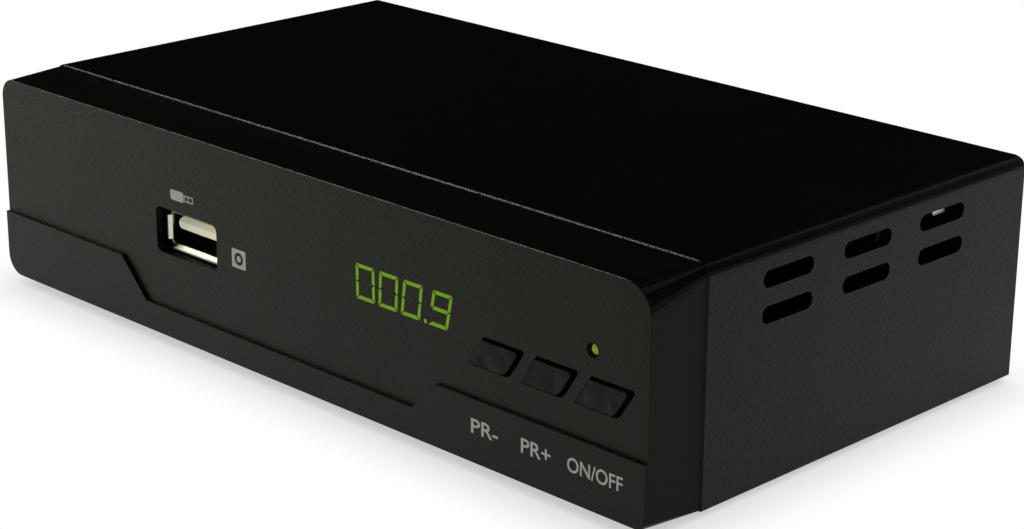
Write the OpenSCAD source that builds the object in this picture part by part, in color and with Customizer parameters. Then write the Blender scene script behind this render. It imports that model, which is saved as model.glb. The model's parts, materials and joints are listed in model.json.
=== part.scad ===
// Small set-top television receiver: a black plastic case with a smoked front plate,
// a memory stick port, a four digit display, three push buttons and a row of rear sockets.
// X runs to the right as seen from the front, Y runs from the front to the back, Z is up.
// Heights named *_z are measured from the underside of the case, which stands on its feet.

/* [Case] */
// Width of the case
body_w = 150; // [135:0.5:180]
// Depth of the case from the front lip to the back edge
body_d = 86.5; // [84:0.5:110]
// Height of the case without its feet
body_h = 36.5; // [36:0.5:48]
// Wall of the cover, the bezel and the sides
wall = 2; // [1.6:0.1:2.6]
// Thickness of the bottom tray
tray_t = 2.2; // [1.8:0.1:3]
// Radius of the long top edges of the cover
top_edge_r = 2.3; // [1.6:0.1:2.6]
// Radius of the back top edge of the cover
back_edge_r = 1.2; // [0.6:0.1:1.8]
// Clearance between case pieces that slide together
fit_gap = 0.15; // [0.05:0.05:0.3]

/* [Front] */
// Depth of the nose, from the lip to the crease where the cover starts
nose_d = 11.9; // [11.6:0.1:14]
// Drop of the nose's top from the crease to the front
nose_top_drop = 0.6; // [0:0.1:1.5]
// Rise of the nose's underside from the crease to the front
nose_bottom_rise = 0.9; // [0:0.1:1.5]
// Narrowing of the nose on each side
nose_side_in = 0; // [0:0.1:1]
// Step of the nose below the cover along the crease
seam_step = 0.2; // [0.05:0.05:0.4]
// Chamfer of the cover's front edge
seam_edge = 0.2; // [0.05:0.05:0.3]
// Chamfer of the nose's front edge
nose_edge = 0.08; // [0.04:0.02:0.2]
// Corner radius of the front at the upper left
front_r_up_left = 3.2; // [2:0.1:6]
// Corner radius of the front at the upper right
front_r_up_right = 4.8; // [2:0.1:6]
// Corner radius of the front at the lower left
front_r_left = 3.5; // [1:0.1:5]
// Corner radius of the front at the lower right
front_r_right = 1; // [0.6:0.1:5]
// How far the lower lip stands forward of the front plate
lip_step = 0.6; // [0.3:0.1:1.2]
// Height of the lip's edge at the left
lip_left_z = 12; // [9:0.1:13]
// Height of the lip's edge at the right
lip_right_z = 10.7; // [9:0.1:13]
// Distance from the case's left side to the tongue's lower left corner
tongue_left_in = 39.8; // [32:0.1:41]
// Distance from the case's right side to the tongue's lower right corner
tongue_right_in = 46; // [44:0.1:54]
// Height of the tongue's lower edge
tongue_z = 5.6; // [5:0.1:7]
// Width of the rim round the front plate
rim = 0.8; // [0.5:0.1:1]
// Thickness of the front plate
plate_t = 1.6; // [1.2:0.1:2]
// Thickness of the ledge that the front plate is glued to
seat_t = 1.2; // [0.8:0.1:1.6]
// Width of that ledge
seat_w = 0.6; // [0.4:0.1:0.7]
// Hairline gap round the front plate
plate_gap = 0.02; // [0.01:0.01:0.1]

/* [Memory stick port] */
// Distance from the case's left side to the port's centre
usb_in = 50.4; // [46:0.1:60]
// Height of the port's centre
usb_z = 18.8; // [17:0.1:20]
// Width of the cut-out in the front plate
usb_cut_w = 15.6; // [14.2:0.1:16]
// Height of the cut-out in the front plate
usb_cut_h = 7.7; // [6.8:0.1:9]
// Corner radius of the cut-out
usb_cut_r = 1.2; // [0.4:0.1:2]
// Width of the metal shell
usb_shell_w = 13.1; // [12.9:0.1:13.3]
// Height of the metal shell
usb_shell_h = 5.7; // [5.6:0.1:6]
// Length of the metal shell
usb_shell_l = 14; // [12:0.5:18]
// Sheet thickness of the metal shell
usb_shell_t = 0.3; // [0.2:0.05:0.4]
// Depth of the shell's lips behind the plate's face
usb_recess = 1.6; // [0.5:0.1:2]
// How far the lips bend outwards
usb_flare = 0.5; // [0.1:0.05:0.6]
// How far the shell's lower lip is bent down
usb_flare_low = 0.6; // [0.1:0.05:0.7]
// Length of the lips
usb_flare_l = 0.5; // [0.4:0.1:1.2]
// Width of the contact tongue
usb_tongue_w = 11.1; // [10.5:0.1:11.5]
// Thickness of the contact tongue
usb_tongue_t = 1.94; // [1.6:0.02:2]
// Depth of the tongue's tip behind the shell's lips
usb_tongue_in = 1.3; // [0.5:0.1:2]

/* [Push buttons] */
// Distance from the case's right side to the first button's lower left corner
button_in = 34.7; // [34.2:0.1:36]
// Lower edge of the button holes
button_z = 15.6; // [14:0.1:17]
// Width of a button's hole
button_w = 8.3; // [7.5:0.1:8.6]
// Height of a button's hole
button_h = 4.9; // [4:0.1:5]
// Sideways lean of a hole from its lower edge to its upper edge
button_lean = 3.2; // [0:0.1:3.3]
// Distance between buttons
button_pitch = 10.45; // [10.3:0.05:10.5]
// Corner radius of a button's hole
button_r = 0.8; // [0.2:0.1:1]
// Gap at the left and below the caps
cap_gap = 0.25; // [0.2:0.05:0.4]
// Gap at the right of the caps
cap_gap_right = 0.85; // [0.3:0.05:1]
// Gap above the caps
cap_gap_top = 0.6; // [0.3:0.05:1]
// How far a cap stands proud of the front plate
cap_proud = 0.25; // [0:0.05:0.5]
// Travel of a button
button_travel = 0.5; // [0.2:0.05:0.6]
// Thickness of the flange that keeps a cap behind the plate
flange_t = 1; // [0.8:0.1:1.2]
// Overlap of the flange above and below the hole
flange_over = 0.8; // [0.4:0.1:1]
// Overlap of the flange at the sides
flange_side = 0.3; // [0.1:0.1:0.3]
// Running gap between the flange and the plate
flange_gap = 0.2; // [0.1:0.05:0.3]

/* [Display and status light] */
// Distance from the case's right side to the first digit's lower left corner
digit_in = 58.85; // [58:0.05:59.4]
// Height of the digits' lower edge
digit_z = 19.35; // [18.6:0.05:20]
// Width of a digit
digit_w = 4.1; // [3.6:0.1:4.4]
// Height of a digit
digit_h = 5.5; // [5:0.1:6]
// Distance between digits
digit_pitch = 5.05; // [4.9:0.05:5.2]
// Extra room for the decimal point before the last digit
point_room = 1; // [0.9:0.1:1.4]
// Middle lean of the digits in degrees
digit_lean = 5; // [0:1:10]
// Growth of the lean from one digit to the next in degrees
digit_fan = 4; // [0:1:5]
// Width of a lit segment
segment_w = 0.56; // [0.4:0.02:0.8]
// Gap at the mitred ends of the segments
segment_gap = 0.14; // [0.08:0.02:0.2]
// Depth of the segment inlays in the plate
segment_depth = 0.4; // [0.2:0.1:0.8]
// Clearance round an inlay
segment_fit = 0.02; // [0.01:0.01:0.05]
// Margin of the display module round its digits
display_margin = 1.9; // [1:0.1:2.2]
// Distance from the case's right side to the status light
led_in = 10.5; // [8:0.1:15]
// Height of the status light
led_z = 24.2; // [23.6:0.1:25.4]
// Hole for the status light in the plate
led_hole_d = 2.2; // [2:0.1:3]
// Diameter of the status light's lens
led_d = 1.7; // [1.5:0.1:1.8]
// Depth of the lens behind the plate's face
led_recess = 0.3; // [0.1:0.1:1.2]
// Diameter of the status light's base
led_base_d = 3; // [2.6:0.1:3.2]

/* [Side vents] */
// Length of a vent slot
vent_len = 11.1; // [8:0.1:14]
// Height of a vent slot
vent_h = 2.6; // [1.6:0.1:3.2]
// Distance from the cover's top to the middle of the upper row
vent_drop = 5.3; // [5:0.1:7]
// Distance between the two rows
vent_row_gap = 5.3; // [4:0.1:7]
// Distance from the lip to the centre of the first slot
vent_start = 29.15; // [26:0.1:32]
// Distance between slots in a row
vent_pitch = 18.05; // [15:0.05:19]
// Slots in a row
vent_count = 3; // [1:1:3]

/* [Boards] */
// Thickness of the circuit boards
board_t = 1.6; // [1:0.1:2]
// Gap between the main board and the cover's screw bosses
main_gap = 0.8; // [0.5:0.1:4]
// Front edge of the main board behind the lip, under the memory stick port
main_front = 4.6; // [4.4:0.1:6]
// Front edge of the main board behind the lip, behind the front board
main_step = 13.5; // [13:0.1:15]
// Distance from the case's right side to that step in the main board
main_step_in = 68; // [67:0.5:75]
// Width of the front board
front_board_w = 62; // [61.5:0.5:63]
// Gap between the front board and the bezel's right wall
front_board_side = 1; // [0.6:0.1:1.5]
// Lower edge of the front board
front_board_z0 = 5.4; // [4.6:0.1:5.6]
// Upper edge of the front board
front_board_z1 = 28; // [27.6:0.1:29]
// Distance from the lip to the front board's face
front_board_y = 8.8; // [8.7:0.1:9]
// Height of the switch bodies on the front board
switch_h = 3.5; // [3:0.1:3.6]
// Width of the switch bodies
switch_w = 6; // [5:0.1:6.2]
// Diameter of a switch's plunger
plunger_d = 3.4; // [3:0.1:3.5]
// Clearance round a plunger in its switch
plunger_gap = 0.3; // [0.25:0.05:0.4]
// Length of a plunger inside its switch at rest
plunger_in = 1.2; // [0.8:0.1:1.4]
// Length of a plunger in front of its switch at rest
plunger_out = 0.9; // [0.8:0.1:1.2]
// Side of the main chip
soc_w = 19; // [14:0.5:22]
// Height of the main chip
soc_h = 1.4; // [1:0.1:2]
// Side of the heat sink
sink_w = 26; // [20:0.5:28]
// Height of the heat sink
sink_h = 8; // [5:0.5:9]
// Fins of the heat sink
sink_fins = 7; // [4:1:9]
// Thickness of a fin
sink_fin_t = 1.2; // [0.8:0.1:1.6]

/* [Rear sockets] */
// Thickness of the rear panel
rear_t = 1.6; // [1.2:0.1:2]
// Depth of the rear panel inside the cover's back edge
rear_in = 1.4; // [1.2:0.1:2]
// How far the aerial sockets stand out behind the case
rf_reach = 8.6; // [6:0.1:12]
// Gap between the outer sockets and the main board's side edges
socket_edge = 0.5; // [0:0.1:2]
// Distance between the aerial sockets
rf_pitch = 16; // [14:0.1:20]
// Height of the aerial sockets above the board
rf_rise = 7.2; // [7:0.1:9]
// Mating diameter of the aerial sockets
rf_d = 9.5; // [9.4:0.01:9.6]
// Wall of the aerial sockets' sleeves
rf_wall = 0.8; // [0.6:0.1:1]
// Width of the picture and sound socket's shell
hdmi_w = 14.6; // [14.4:0.1:15]
// Height of the picture and sound socket's shell
hdmi_h = 5.2; // [5:0.1:5.6]
// Width of the 21 pin socket
scart_w = 47; // [46:0.1:48]
// Height of the 21 pin socket
scart_h = 15; // [14:0.1:16]
// Bore of the supply inlet
inlet_d = 6; // [5.6:0.1:6.4]
// Clearance round the sockets in the rear panel
rear_gap = 0.4; // [0.2:0.1:0.6]

/* [Fasteners and feet] */
// Diameter of the screws
screw_d = 2.4; // [2:0.1:2.6]
// Diameter of a screw's head
screw_head_d = 4.6; // [4:0.1:5]
// Height of a screw's head
screw_head_h = 1.1; // [0.8:0.1:1.2]
// Clearance round a screw
screw_gap = 0.15; // [0.1:0.05:0.3]
// Length of the case screws
case_screw_l = 9; // [6:0.5:12]
// Length of the board screws
board_screw_l = 6; // [4:0.5:8]
// Diameter of the screw bosses
boss_d = 6.6; // [5.6:0.1:7]
// Diameter of a foot
foot_d = 10; // [8:0.5:12]
// Height of a foot
foot_h = 1; // [0.6:0.1:2]

/* [Hidden] */
$fn = 48;

// Colours of the pieces
shell_black = [0.09, 0.09, 0.09];
plate_black = [0.13, 0.13, 0.12];
board_green = [0.05, 0.28, 0.14];
chip_black = [0.06, 0.06, 0.07];
tinned = [0.75, 0.75, 0.73];
digit_green = [0.45, 0.8, 0.2];

// A small margin that makes a cut pass right through a face
past = 0.5;
// Thickness of the end slices that the nose is stretched between
slice = 0.02;
// Smallest corner radius of an outline, and the radius of the long lower edges
edge_r = 0.2;
low_edge_r = 0.3;
// Steps in a rounded corner of an outline
corner_steps = 8;
// A width well outside the case, for outlines that are cut to size later
far = body_w;

// Planes along the depth of the case
lip_y = -(body_d + rf_reach) / 2;
plate_y = lip_y + lip_step;
crease_y = lip_y + nose_d;
back_y = lip_y + body_d;
front_wall = plate_t + seat_t;
rear_y = back_y - rear_in;
plate_back_y = plate_y + plate_t;

// Heights above the floor
base_z = foot_h;
top_z = base_z + body_h;
tray_top = base_z + tray_t;
ceiling_z = top_z - wall;
board_top = base_z + usb_z - usb_shell_h / 2;
board_low = board_top - board_t;

// The inside of the case
half_w = body_w / 2;
inner_half = half_w - wall;
tray_half = inner_half - fit_gap;
boss_side_gap = 0.6;
case_boss_x = inner_half - boss_side_gap - boss_d / 2;

// Places along the front and the boards, from the case's sides
tongue_left = -half_w + tongue_left_in;
tongue_right = half_w - tongue_right_in;
usb_x = -half_w + usb_in;
button_x = half_w - button_in;
digit_x = half_w - digit_in;
led_x = half_w - led_in;
main_half_w = case_boss_x - boss_d / 2 - main_gap;
main_step_x = half_w - main_step_in;
front_board_x1 = inner_half - front_board_side;
front_board_x0 = front_board_x1 - front_board_w;

// Front outline of the nose
front_half = half_w - nose_side_in;
front_low = base_z + nose_bottom_rise;
front_top = top_z - nose_top_drop;

// Ledge between the plate and the lip, with slopes of 45 degrees beside the tongue
slope_left = lip_left_z - tongue_z;
slope_right = lip_right_z - tongue_z;

// Push button stack, from the plate back to the front board
cap_front_y = plate_y - cap_proud;
flange_y = plate_back_y + flange_gap;
board_face_y = lip_y + front_board_y;
switch_y = board_face_y - switch_h;
plunger_front_y = switch_y - plunger_out;
plunger_back_y = switch_y + plunger_in;
switch_bore = plunger_in + button_travel + plunger_gap;

// Display
last_digit = 3;
led_base_l = 5;
display_x0 = digit_x - display_margin;
display_x1 = digit_at(last_digit) + digit_w + display_margin;
display_z0 = base_z + digit_z - display_margin;
display_z1 = base_z + digit_z + digit_h + display_margin;

// Screw places
boss_front_in = 9;
boss_back_in = 6;
case_boss_front = crease_y + boss_front_in;
case_boss_back = rear_y - rear_t - boss_back_in;
post_side_in = 5;
post_front_in = 6;
post_back_in = 30;
board_post_x = main_half_w - post_side_in;
board_post_front = lip_y + main_step + post_front_in;
board_post_back = rear_y - rear_t - post_back_in;
front_post_d = 5;
front_post_in = 2.9;
front_post_z = front_board_z0 + front_post_in;
front_post_pitch = 31.5;
front_post_last = front_board_x1 - front_post_d / 2;
front_post_x = [front_post_last - front_post_pitch, front_post_last];
rail_left_in = 10;
rail_right_in = 16;
rail_x = [front_board_x0 + rail_left_in, front_board_x1 - rail_right_in];
rail_w = 2;
rail_front = 1;
bore_spare = 1;
tab_x = 40;
tab_w = 12;
tab_t = 1.5;
tab_reach = 5;
tab_root = 4;
counterbore = screw_head_h + fit_gap;
pilot_d = screw_d + 2 * screw_gap;
clear_d = screw_d + 4 * screw_gap;
foot_in = 13;

// Parts on the boards
soc_side = 6.9;
soc_back = 40;
soc_at = [usb_x + soc_side, lip_y + soc_back];
power_x = 10;
power_back = 30;
power_y = lip_y + power_back;
power_pitch = 10;
memory_l = 13;
memory_w = 8;
memory_h = 1.1;
memory_gap = 4;
regulator_l = 5;
regulator_w = 4;
regulator_h = 1.5;
regulator_pitch = 7.5;
big_capacitor_d = 8;
big_capacitor_h = 12;
capacitor_d = 6.3;
capacitor_h = 11;
groove_z = 1;
groove_h = 1.1;
groove_in = 0.4;
choke_w = 7;
choke_h = 4;
small_l = 1.6;
small_w = 0.8;
small_h = 0.6;
small_pitch = 4;
small_row = 2.4;
tuner_d = 20;
tuner_h = 13;
lid_t = 0.5;
socket_y = rear_y - rear_t;
rf_z = board_top + rf_rise;
rf_outer_d = rf_d + 2 * rf_wall;
tuner_side = 0.7;
tuner_w = rf_pitch + rf_outer_d + 2 * tuner_side;
finger_w = 3;
finger_t = 0.3;
finger_root = 1.5;
finger_gap = 0.1;
finger_lean = 0.4;
finger_h = 2.4;
finger_drop = 0.2;
finger_along = 2;
finger_y = max(lip_y + vent_start + (vent_count - 1) * vent_pitch + finger_along,
    socket_y - fit_gap - tuner_d + finger_w);
hdmi_l = 11;
hdmi_sheet = 0.4;
hdmi_back_t = 1;
hdmi_tongue_w = 10.6;
hdmi_tongue_l = 7;
hdmi_tongue_t = 1.2;
scart_l = 17;
scart_z = board_top + scart_h / 2;
scart_ear = 4.5;
scart_frame = 2.2;
scart_mouth_w = scart_w - 2 * scart_ear;
scart_mouth_h = scart_h - 2 * scart_frame;
scart_slant = 4;
scart_depth = 9;
scart_groove = 1.3;
scart_view = 0.6;
scart_slits = 10;
scart_slit_pitch = 3.3;
scart_slit_w = 0.7;
scart_slit_h = 2.8;
scart_row = 2;
scart_shift = 0.8;
scart_stagger = 0.5;
socket_rise = 0.5;
coax_w = 10;
coax_l = 12;
coax_h = 13;
coax_z = board_top + coax_h / 2 + socket_rise;
coax_d = 8.3;
coax_wall = 0.9;
coax_core_d = coax_d - 2 * coax_wall;
coax_core_out = 1;
coax_reach = 7;
coax_bore = 3.4;
coax_floor = 2;
inlet_w = 9;
inlet_h = 11;
inlet_l = 14;
inlet_z = board_top + inlet_h / 2 + socket_rise;
inlet_floor = 3;
inlet_pin_d = 2;
inlet_pin_in = 1;
rf_flange = 0.8;
rf_play = 0.05;
rf_floor = 1;
rf_floor_y = socket_y - fit_gap + rf_floor;
rf_insulator = 3;
rf_contact_d = 4;
rf_pin_d = 2.4;
rf_tube_in = 2;
rf_pin_in = 0.6;
usb_y = plate_y + usb_recess;
usb_back_t = 1;
usb_shell_r = 0.5;
usb_lip_trim = 0.8;
usb_tongue_r = 0.8;
usb_slope_d = 0.6;
usb_slope_h = 0.8;
usb_tongue_rise = -0.14;
usb_tongue_low = board_top + usb_shell_h / 2 + usb_tongue_rise;
front_screw_short = 1;
front_screw_l = board_screw_l - front_screw_short;
connector_in = 26;
connector_x = front_board_x1 - connector_in;
connector_w = 14;
connector_d = 3;
ribbon_t = 0.6;
ribbon_w = 12;
ribbon_bend = 3;
ribbon_run = 2.2;
ribbon_drop = 1;
ribbon_z = board_top + connector_d + ribbon_drop + ribbon_bend;
board_back_y = board_face_y + board_t;
main_connector_y = board_back_y + connector_d + ribbon_run + ribbon_bend;

// The rear sockets in a row from the left to the right, spread evenly along the main board
socket_room = 2 * main_half_w - 2 * socket_edge - inlet_w - coax_w - scart_w - hdmi_w - tuner_w;
socket_count = 5;
socket_gap = socket_room / (socket_count - 1);
inlet_x = -main_half_w + socket_edge + inlet_w / 2;
coax_x = inlet_x + inlet_w / 2 + socket_gap + coax_w / 2;
scart_x = coax_x + coax_w / 2 + socket_gap + scart_w / 2;
hdmi_x = scart_x + scart_w / 2 + socket_gap + hdmi_w / 2;
tuner_x = hdmi_x + hdmi_w / 2 + socket_gap + tuner_w / 2;
rf_in_x = tuner_x + rf_pitch / 2;
rf_out_x = tuner_x - rf_pitch / 2;

// Left edge of a digit, counted from the first
function digit_at(i) = digit_x + i * digit_pitch + (i == last_digit ? point_room : 0);

// Points of an arc round a centre
function arc(c, r, from, to) =
    [for (i = [0:corner_steps])
        let (a = from + (to - from) * i / corner_steps)
        c + r * [cos(a), sin(a)]];

// Outline of a box with its own radius at each corner, from the lower left one round to the right
function rounded_box(x0, z0, x1, z1, r) = concat(
    arc([x0 + r[0], z0 + r[0]], r[0], 180, 270),
    arc([x1 - r[1], z0 + r[1]], r[1], 270, 360),
    arc([x1 - r[2], z1 - r[2]], r[2], 0, 90),
    arc([x0 + r[3], z1 - r[3]], r[3], 90, 180));

// Outline of the front of the nose, drawn in by a margin
function front_outline(m) = rounded_box(
    -front_half + m, front_low + m, front_half - m, front_top - m,
    [for (r = [front_r_left, front_r_right, front_r_up_right, front_r_up_left]) max(r - m, edge_r)]);

// Outline of the case at the crease, drawn in by a margin
function crease_outline(m) = rounded_box(
    -half_w + m, base_z + m, half_w - m, top_z - m,
    [for (r = [low_edge_r, low_edge_r, top_edge_r, top_edge_r]) max(r - m, edge_r)]);

// The ledge line from the left to the right, raised by a margin
function ledge(m) = [
    [-far, base_z + lip_left_z + m],
    [tongue_left - slope_left, base_z + lip_left_z + m],
    [tongue_left, base_z + tongue_z + m],
    [tongue_right, base_z + tongue_z + m],
    [tongue_right + slope_right, base_z + lip_right_z + m],
    [far, base_z + lip_right_z + m]];

// A point of a leaning digit, counted from the first
function leaned(p, i) =
    let (turn = digit_lean + (i - last_digit / 2) * digit_fan)
    [p[0] + digit_h / 2 * tan(digit_lean) + (p[1] - digit_h / 2) * tan(turn), p[1]];

// Outline of a digit's bar that lies along its upper edge, with mitred ends
function top_bar(w) = [
    [segment_gap, digit_h], [w - segment_gap, digit_h],
    [w - segment_w - segment_gap, digit_h - segment_w], [segment_w + segment_gap, digit_h - segment_w]];

// Outline of a digit's upper bar on its left side, with mitred ends
function side_bar() = [
    [0, digit_h - segment_gap], [segment_w, digit_h - segment_w - segment_gap],
    [segment_w, digit_h / 2 + segment_w / 2 + segment_gap / 2],
    [segment_w / 2, digit_h / 2 + segment_gap / 2], [0, digit_h / 2 + segment_gap]];

// Outline of a digit's middle bar, pointed at both ends
function middle_bar() = [
    [segment_w / 2 + segment_gap, digit_h / 2],
    [segment_w + segment_gap, digit_h / 2 + segment_w / 2],
    [digit_w - segment_w - segment_gap, digit_h / 2 + segment_w / 2],
    [digit_w - segment_w / 2 - segment_gap, digit_h / 2],
    [digit_w - segment_w - segment_gap, digit_h / 2 - segment_w / 2],
    [segment_w + segment_gap, digit_h / 2 - segment_w / 2]];

function flipped_x(pts) = [for (p = pts) [digit_w - p[0], p[1]]];
function flipped_z(pts) = [for (p = pts) [p[0], digit_h - p[1]]];

// Bars of the digit 0, and of the digit 9
digit_zero = [top_bar(digit_w), flipped_z(top_bar(digit_w)), side_bar(), flipped_x(side_bar()),
    flipped_z(side_bar()), flipped_x(flipped_z(side_bar()))];
digit_nine = [top_bar(digit_w), flipped_z(top_bar(digit_w)), side_bar(), flipped_x(side_bar()),
    middle_bar(), flipped_x(flipped_z(side_bar()))];
shown_digits = [digit_zero, digit_zero, digit_zero, digit_nine];

// Stretches an outline drawn in X and Z from one depth to another
module along_y(y0, y1) {
    translate([0, y1, 0])
        rotate([90, 0, 0])
            linear_extrude(y1 - y0)
                children();
}

// A block between two corners
module block(a, b) {
    translate(a)
        cube(b - a);
}

// A round bar along Y, centred on x and z
module rod_y(x, z, d, y0, y1) {
    along_y(y0, y1)
        translate([x, z])
            circle(d = d);
}

// A round bar along Z, centred on x and y
module rod_z(x, y, d, z0, z1) {
    translate([x, y, z0])
        cylinder(d = d, h = z1 - z0);
}

// Four places mirrored left and right at a front and a back line
module four_places(x, front, back) {
    for (side = [-1, 1], y = [front, back])
        translate([side * x, y, 0])
            children();
}

// Part of the front above the ledge line
module above_ledge(m) {
    polygon(concat(ledge(m), [[far, top_z + far], [-far, top_z + far]]));
}

// Part of the front below the ledge line
module below_ledge(m) {
    polygon(concat(ledge(m), [[far, -far], [-far, -far]]));
}

// Outline of the front plate, drawn in by a margin
module plate_outline(m) {
    intersection() {
        polygon(front_outline(rim + m));
        above_ledge(m);
    }
}

// The nose from the plate's plane to the crease, drawn in by a wall, with a chamfered front edge
module nose(m, y0, y1, edge) {
    hull() {
        along_y(y0, y0 + slice)
            polygon(front_outline(m + edge));
        along_y(y0 + edge, y0 + edge + slice)
            polygon(front_outline(m));
        along_y(y1 - slice, y1)
            polygon(crease_outline(m + seam_step));
    }
}

// A slot with round ends through a side wall, centred on y and z
module vent(y, z) {
    translate([-body_w, y, z])
        rotate([90, 0, 90])
            linear_extrude(2 * body_w)
                polygon(rounded_box(-vent_len / 2, -vent_h / 2, vent_len / 2, vent_h / 2,
                    [for (i = [1:4]) vent_h / 2 - slice]));
}

// Cover with its top, both sides and the bosses for the case screws
module top_cover() {
    color(shell_black)
        difference() {
            union() {
                difference() {
                    intersection() {
                        hull() {
                            along_y(crease_y, crease_y + slice)
                                polygon(crease_outline(seam_edge));
                            along_y(crease_y + seam_edge, back_y)
                                polygon(crease_outline(0));
                        }
                        rotate([90, 0, 90])
                            linear_extrude(2 * body_w, center = true)
                                polygon(rounded_box(crease_y - far, base_z - far, back_y, top_z,
                                    [edge_r, edge_r, back_edge_r, edge_r]));
                    }
                    block([-inner_half, crease_y - past, base_z - past],
                        [inner_half, back_y + past, ceiling_z]);
                    for (i = [0:vent_count - 1], row = [0, 1])
                        vent(lip_y + vent_start + i * vent_pitch, top_z - vent_drop - row * vent_row_gap);
                }
                four_places(case_boss_x, case_boss_front, case_boss_back)
                    rod_z(0, 0, boss_d, tray_top, ceiling_z + wall / 2);
            }
            four_places(case_boss_x, case_boss_front, case_boss_back)
                rod_z(0, 0, pilot_d, tray_top - past, base_z + counterbore + case_screw_l + bore_spare);
        }
}

// Bottom tray with the posts for the main board and a field of air slots
module bottom_tray() {
    slot_l = 30;
    slot_w = 2;
    slot_count = 6;
    slot_pitch = 5;
    slot_y = crease_y + 22;
    color(shell_black)
        difference() {
            union() {
                block([-tray_half, crease_y + fit_gap, base_z], [tray_half, back_y - fit_gap, tray_top]);
                four_places(board_post_x, board_post_front, board_post_back)
                    rod_z(0, 0, boss_d, base_z + tray_t / 2, board_low);
            }
            four_places(board_post_x, board_post_front, board_post_back)
                rod_z(0, 0, pilot_d, board_top - board_screw_l - bore_spare, board_low + past);
            four_places(case_boss_x, case_boss_front, case_boss_back) {
                rod_z(0, 0, clear_d, base_z - past, tray_top + past);
                rod_z(0, 0, screw_head_d + 4 * screw_gap, base_z - past, base_z + counterbore);
            }
            for (side = [-1, 1], i = [0:slot_count - 1])
                block([side * slot_l - slot_l / 2, slot_y + i * slot_pitch, base_z - past],
                    [side * slot_l + slot_l / 2, slot_y + i * slot_pitch + slot_w, tray_top + past]);
        }
}

// Rear panel with a cut-out for each socket
module rear_panel() {
    color(shell_black)
        difference() {
            block([-tray_half, socket_y, tray_top], [tray_half, rear_y, ceiling_z - fit_gap]);
            for (x = [rf_in_x, rf_out_x])
                rod_y(x, rf_z, rf_outer_d + 2 * rear_gap, socket_y - past, rear_y + past);
            along_y(socket_y - past, rear_y + past)
                hdmi_outline(rear_gap);
            along_y(socket_y - past, rear_y + past)
                scart_outline(-scart_view);
            rod_y(coax_x, coax_z, coax_d + 2 * rear_gap, socket_y - past, rear_y + past);
            rod_y(inlet_x, inlet_z, inlet_d + 2 * rear_gap, socket_y - past, rear_y + past);
            for (side = [-1, 1])
                rod_y(scart_screw_x(side), scart_z, clear_d, socket_y - past, rear_y + past);
        }
}

// Front bezel: the nose, the raised lip, the plate's seat, board posts and tabs
module front_bezel() {
    color(shell_black)
        difference() {
            union() {
                difference() {
                    nose(0, plate_y, crease_y, nose_edge);
                    nose(wall, plate_y + front_wall, crease_y + slice, 0);
                }
                along_y(lip_y, plate_y + seat_t)
                    intersection() {
                        polygon(front_outline(0));
                        below_ledge(0);
                    }
                for (x = front_post_x)
                    rod_y(x, base_z + front_post_z, front_post_d, plate_y + seat_t, board_face_y);
                for (x = rail_x)
                    block([x - rail_w / 2, board_face_y - rail_front, base_z + front_board_z1],
                        [x + rail_w / 2, crease_y - past, front_top - wall / 2]);
                for (side = [-1, 1])
                    bezel_tabs(side * tab_x);
            }
            along_y(plate_y - past, plate_back_y)
                plate_outline(0);
            along_y(plate_back_y - past, plate_y + front_wall + past)
                plate_outline(seat_w);
            for (x = front_post_x)
                rod_y(x, base_z + front_post_z, pilot_d,
                    board_back_y - front_screw_l - bore_spare, board_face_y + past);
        }
}

// A tab above and a tab below that reach from the bezel into the case
module bezel_tabs(x) {
    top_tab = ceiling_z - fit_gap;
    low_tab = tray_top + fit_gap;
    root = crease_y - tab_root;
    tip = crease_y + tab_reach;
    block([x - tab_w / 2, root, top_tab - tab_t], [x + tab_w / 2, tip, top_tab]);
    block([x - tab_w / 2, root, top_tab - tab_t], [x + tab_w / 2, crease_y, ceiling_z + wall / 2]);
    block([x - tab_w / 2, root, low_tab], [x + tab_w / 2, tip, low_tab + tab_t]);
    block([x - tab_w / 2, root, base_z + wall / 2], [x + tab_w / 2, crease_y, low_tab + tab_t]);
}

// Smoked plate with the port, the button holes, the light's hole and the display's pockets
module front_plate() {
    color(plate_black)
        difference() {
            along_y(plate_y, plate_back_y)
                plate_outline(plate_gap);
            along_y(plate_y - past, plate_back_y + past)
                polygon(rounded_box(usb_x - usb_cut_w / 2, base_z + usb_z - usb_cut_h / 2,
                    usb_x + usb_cut_w / 2, base_z + usb_z + usb_cut_h / 2, [for (i = [1:4]) usb_cut_r]));
            for (i = [0:2])
                along_y(plate_y - past, plate_back_y + past)
                    translate([i * button_pitch, 0])
                        leaning_outline(0, 0, 0, 0);
            rod_y(led_x, base_z + led_z, led_hole_d, plate_y - past, plate_back_y + past);
            along_y(plate_y - past, plate_y + segment_depth)
                lit_outlines(segment_fit);
        }
}

// Outline of a button's hole, drawn in at the left, right, bottom and top
module leaning_outline(left, right, low, top) {
    lean_per_mm = button_lean / button_h;
    z0 = base_z + button_z + low;
    z1 = base_z + button_z + button_h - top;
    x0 = button_x + low * lean_per_mm + left;
    x1 = x0 + button_w - left - right;
    polygon([for (p = rounded_box(x0, z0, x1, z1, [edge_r, button_r, button_r, edge_r]))
        [p[0] + (p[1] - z0) * lean_per_mm, p[1]]]);
}

// Cap, flange and stem of one button, counted from the left
module button(i) {
    mid_x = button_mid(i);
    mid_z = base_z + button_z + button_h / 2;
    color(plate_black)
        translate([i * button_pitch, 0, 0])
            union() {
                along_y(cap_front_y, flange_y + flange_t / 2)
                    leaning_outline(cap_gap, cap_gap_right, cap_gap, cap_gap_top);
                along_y(flange_y, flange_y + flange_t)
                    flange_outline();
                rod_y(mid_x - i * button_pitch, mid_z, plunger_d, flange_y + flange_t / 2, plunger_front_y);
            }
}

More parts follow.
